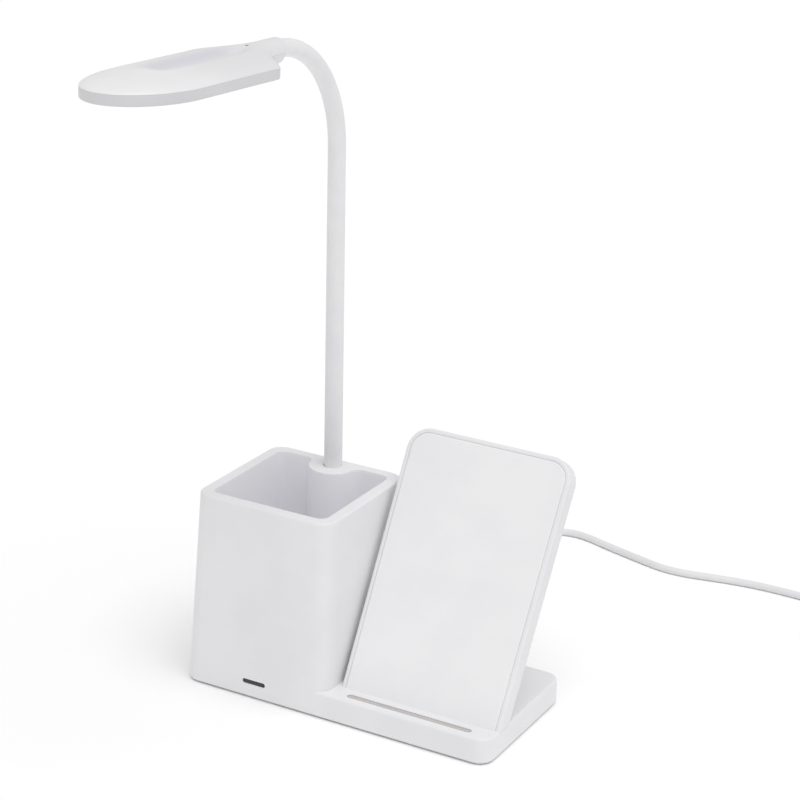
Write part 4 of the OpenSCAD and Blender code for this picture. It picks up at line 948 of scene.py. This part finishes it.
def smooth_line(points, per_span):
    """A Catmull-Rom line through points, per_span steps from each to the next."""
    p = np.asarray(points, float)
    p = np.concatenate([[2 * p[0] - p[1]], p, [2 * p[-1] - p[-2]]])
    t = (np.arange(per_span) / per_span)[None, :, None]
    a, b, c, d = (p[i:len(p) - 3 + i, None] for i in range(4))
    curve = 0.5 * (2 * b + (c - a) * t + (2 * a - 5 * b + 4 * c - d) * t**2 + (3 * b - a - 3 * c + d) * t**3)
    return np.concatenate([curve.reshape(-1, 3), p[-2:-1]])


def sweep(p, radius, sides=20):
    """Rings of radius about the points p, upright and square to their line; each closes on itself."""
    d = np.gradient(p, axis=0)
    d /= np.linalg.norm(d, axis=1)[:, None]
    side = np.cross(d, (0, 0, 1.0))
    side /= np.linalg.norm(side, axis=1)[:, None]
    up = np.cross(side, d)
    a = np.linspace(0, 2 * pi, sides + 1)[:, None]
    return p[:, None] + radius * (side[:, None] * np.cos(a) + up[:, None] * np.sin(a))


def capped(grid):
    """A grid whose columns close, with a face over each of its ends."""
    return grid, grid[0, :-1][::-1], grid[-1, :-1]


def cord():
    """The cord from its relief over the desk into a tied coil, and the plug at its end."""
    path = smooth_line(np.concatenate([np.array(CORD_ROUTE, float), coil_line()]), 3)
    obj = piece("supply_cord", "base", CORD_SKIN, *capped(sweep(path, CORD_D / 2)),
                replaces=["cord", "cord_coil"])
    parts = [relief(), tie(), *plug(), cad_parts["plug_tongue"]]


def turned(profile, origin, along, up, sides, ribs):
    """A profile (distance along, radius) turned about an axis; ribs(distance, angle) adds its share."""
    along, up = np.array(along, float), np.array(up, float)
    side = np.cross(along, up)
    a = np.linspace(0, 2 * pi, sides + 1)
    d, r = np.array(profile, float).T
    r = r[:, None] * (1 + ribs(d[:, None], a[None]))
    return (np.array(origin, float) + d[:, None, None] * along
            + r[..., None] * (np.cos(a)[:, None] * side + np.sin(a)[:, None] * up))


def relief():
    """Strain relief: a collar at the wall and a taper with slots on alternate sides."""
    d = np.linspace(2.2, RELIEF_LEN - 1.6, 100)
    tip = CORD_D / 2 + 0.5
    taper = RELIEF_R + 0.05 + (tip - RELIEF_R - 0.05) * (d / RELIEF_LEN)
    profile = [(along, RELIEF_R + more) for along, more in [
        (-3.8, -0.15), (-0.1, -0.15), (-0.1, 0.6), (0.1, 0.95), (0.5, 1), (1.3, 1), (1.7, 0.85),
        (1.85, 0.45), (1.95, 0.1),
    ]]
    profile += list(zip(d, taper)) + [(RELIEF_LEN - 0.7, tip + 0.02), (RELIEF_LEN - 0.2, tip - 0.15),
                                      (RELIEF_LEN, tip - 0.4), (RELIEF_LEN, CORD_D / 2 - 0.1)]
    first, last, pitch, depth = 4.2, 17.5, 1.9, 0.2

    def ribs(dist, angle):
        k = (dist - first) / pitch
        slot = np.clip(1 - abs((k - np.floor(k)) - 0.5) / 0.24, 0, 1)
        slot = smooth(slot * 1.6) * ((dist > first) & (dist < last))
        odd = np.floor(k) % 2
        across = abs(np.where(odd > 0, np.cos(angle), np.sin(angle)))
        return -depth * slot * ramp(across, 0.25, 0.4)

    grid = turned(profile, (CORD_X, BASE_D / 2, CORD_Z), (0, 1, 0), (0, 0, 1), 64, ribs)
    return piece("relief_sleeve", "base", CORD_SKIN, *capped(grid), replaces=["strain_relief"])


def flat_ring(w, h, r, n=8):
    """Plan outline (a, b) of a rectangle with round corners, about its middle."""
    r = min(r, h / 2 - 0.01)
    q = [arc(sx * (w / 2 - r), sy * (h / 2 - r), r, a0, a0 + 90, n)
         for sx, sy, a0 in [(1, 1, 0), (-1, 1, 90), (-1, -1, 180), (1, -1, 270)]]
    return np.concatenate(q)


def tie():
    """A hook-and-loop strap round the turns at the coil's left."""
    inner = coil_radius(COIL_REVERSE + 0.25) - CORD_D / 2 - 1.2
    outer = coil_radius(COIL_OVER - 0.25) + CORD_D / 2 + 0.3
    low, high = COIL_Z - CORD_D / 2 - 0.15, COIL_Z + TURN_STEP + CORD_D / 2 + 0.15
    mid, tall = COIL_X - (inner + outer) / 2, (low + high) / 2
    w, h, t, half = outer - inner, high - low, 0.72, 3.95

    def loop(d, grow, r):
        """The strap's outline at d along it, its opening's size grown by 2 * grow, with corners of r."""
        plan = flat_ring(w + 2 * grow, h + 2 * grow, r)
        return np.column_stack([mid + plan[:, 0], np.full(len(plan), COIL_Y + d), tall + plan[:, 1]])

    rows = [loop(d, t - edge, 2.4 - edge)
            for d, edge in [(-half, 0.15), (-half + 0.2, 0), (half - 0.2, 0), (half, 0.15)]]
    rows += [loop(d, edge, 1.6 + edge)
             for d, edge in [(half, 0.12), (half - 0.15, 0), (-half + 0.15, 0), (-half, 0.12)]]
    rows.append(rows[0])
    return piece("coil_strap", "base", strap(), closed(rows), slot="grey_rubber", replaces=["cord_tie"])


def plug():
    """USB plug: a moulded grip with side hollows and ribs, and a folded shell with its latch windows."""
    def ring(w, h, r, d, n=8):
        """A plug's outline of width w and height h, with corners of r, at d from its cord's end."""
        plan = flat_ring(w, h, r, n)
        return np.column_stack([PLUG_X + plan[:, 0], np.full(len(plan), COIL_Y - CORD_D - d),
                                PLUG_Z + plan[:, 1]])

    root, neck_h = CORD_D + 0.7, PLUG_H - 1.6
    grids = []
    for d in np.linspace(0, PLUG_NECK - 0.6, 14):
        size = root + (neck_h - root) * smooth(d / PLUG_NECK)
        grids.append(ring(size, size, size / 2 - 0.02, d))
    for k in np.linspace(0, 1, 9)[1:]:
        bulge = sin(k * pi / 2)
        d = PLUG_NECK - 0.02 + 2.2 * (1 - cos(k * pi / 2))
        grids.append(ring(neck_h + (PLUG_W - neck_h) * bulge, neck_h + 1.6 * bulge, 3.2 - 1.2 * bulge, d))
    for d in np.linspace(PLUG_NECK + 2.6, PLUG_NECK + PLUG_LEN - 1, 90):
        k = (d - PLUG_NECK - 6) / 12
        dent = 0.9 * smooth(4 * k) * smooth(4 * (1 - k)) * (0 < k < 1)
        rib = 0.35 * (0.5 + 0.5 * cos(2 * pi * (d - PLUG_NECK - 6) / 1.5)) * (dent > 0.5)
        grids.append(ring(PLUG_W - dent + rib, PLUG_H, 2.0, d))
    for t in np.linspace(0, pi / 2, 6)[1:]:
        less = 1.8 * (1 - cos(t))
        grids.append(ring(PLUG_W - less, PLUG_H - less, 1.6, PLUG_NECK + PLUG_LEN - 0.9 + 0.9 * sin(t)))
    grip = piece("plug_grip", "base", CORD_SKIN, closed(grids), grids[0], grids[-1], replaces=["plug_body"])
    start = PLUG_NECK + PLUG_LEN - 0.5
    outer = [(11.95, 4.45, start), (11.95, 4.45, start + 12.1), (11.75, 4.25, start + 12.5)]
    inner = [(11.35, 3.85, start + 12.5), (11.4, 3.9, start + 12.2), (11.4, 3.9, start)]
    wall = [ring(w, h, 0.55 if w > 11.5 else 0.35, d, 6) for w, h, d in outer + inner + outer[:1]]
    shell = piece("plug_sleeve", "base", NICKEL, closed(wall), slot="zinc_steel", replaces=["plug_shell"])
    holes = []
    for x in (-2.7, 2.7):
        plan = flat_ring(2.4, 1.9, 0.1, 3) + (PLUG_X + x, COIL_Y - CORD_D - start - 7.2)
        holes.append(prism("latch_hole", [at_height(plan, PLUG_Z + z) for z in (-4.0, 4.0)]))
    cut(shell, *holes)
    return grip, shell


# ======================= light and stage =======================

# Strength of the room and of the soft lamp, the way to the lamp and its width in degrees
ROOM_LIGHT, LAMP_LIGHT, LAMP_FROM, LAMP_WIDTH = 0.66, 1.2, (0.17, -0.1, 0.5), 50


def light():
    """A pale room: even light from all sides, and a wide soft lamp from the front right."""
    world = bpy.data.worlds.new("room")
    bpy.context.scene.world = world
    world.use_nodes = True
    nodes, links = world.node_tree.nodes, world.node_tree.links
    ray, mix = nodes.new("ShaderNodeLightPath"), nodes.new("ShaderNodeMix")
    links.new(ray.outputs["Is Camera Ray"], mix.inputs[0])
    mix.inputs[2].default_value, mix.inputs[3].default_value = ROOM_LIGHT, 1.0
    back = nodes["Background"]
    back.inputs["Color"].default_value = (1, 1, 1, 1)
    links.new(mix.outputs[0], back.inputs["Strength"])
    lamp = bpy.data.lights.new("window_light", "SUN")
    lamp.energy, lamp.angle = LAMP_LIGHT, radians(LAMP_WIDTH)
    obj = bpy.data.objects.new("window_light", lamp)
    obj.rotation_euler = Vector(LAMP_FROM).to_track_quat("Z", "Y").to_euler()
    bpy.context.scene.collection.objects.link(obj)


def floor():
    """A wide pale floor on which the lamp stands."""
    r = 8000.0
    corners = np.array([[(-r, -r, 0), (r, -r, 0)], [(-r, r, 0), (r, r, 0)]], float)
    m = Finish("pale_floor", Roughness=0.9, Specular_IOR_Level=0.0)
    m.feed("Base Color", m.mix(m.noise(400), (1.0, 1.0, 1.0), (0.995, 0.995, 0.995)))
    obj = piece("floor", None, m.mat, corners)


def dress_parts():
    """Materials of the CAD pieces that stay."""
    for mat, names in MATERIALS.items():
        for name in names:
            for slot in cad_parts[name].material_slots:
                slot.material = mat


camera()
cord()
foot()
cup()
strip_and_window()
rest()
neck()
head()
touch_dot()
dress_parts()
light()
floor()
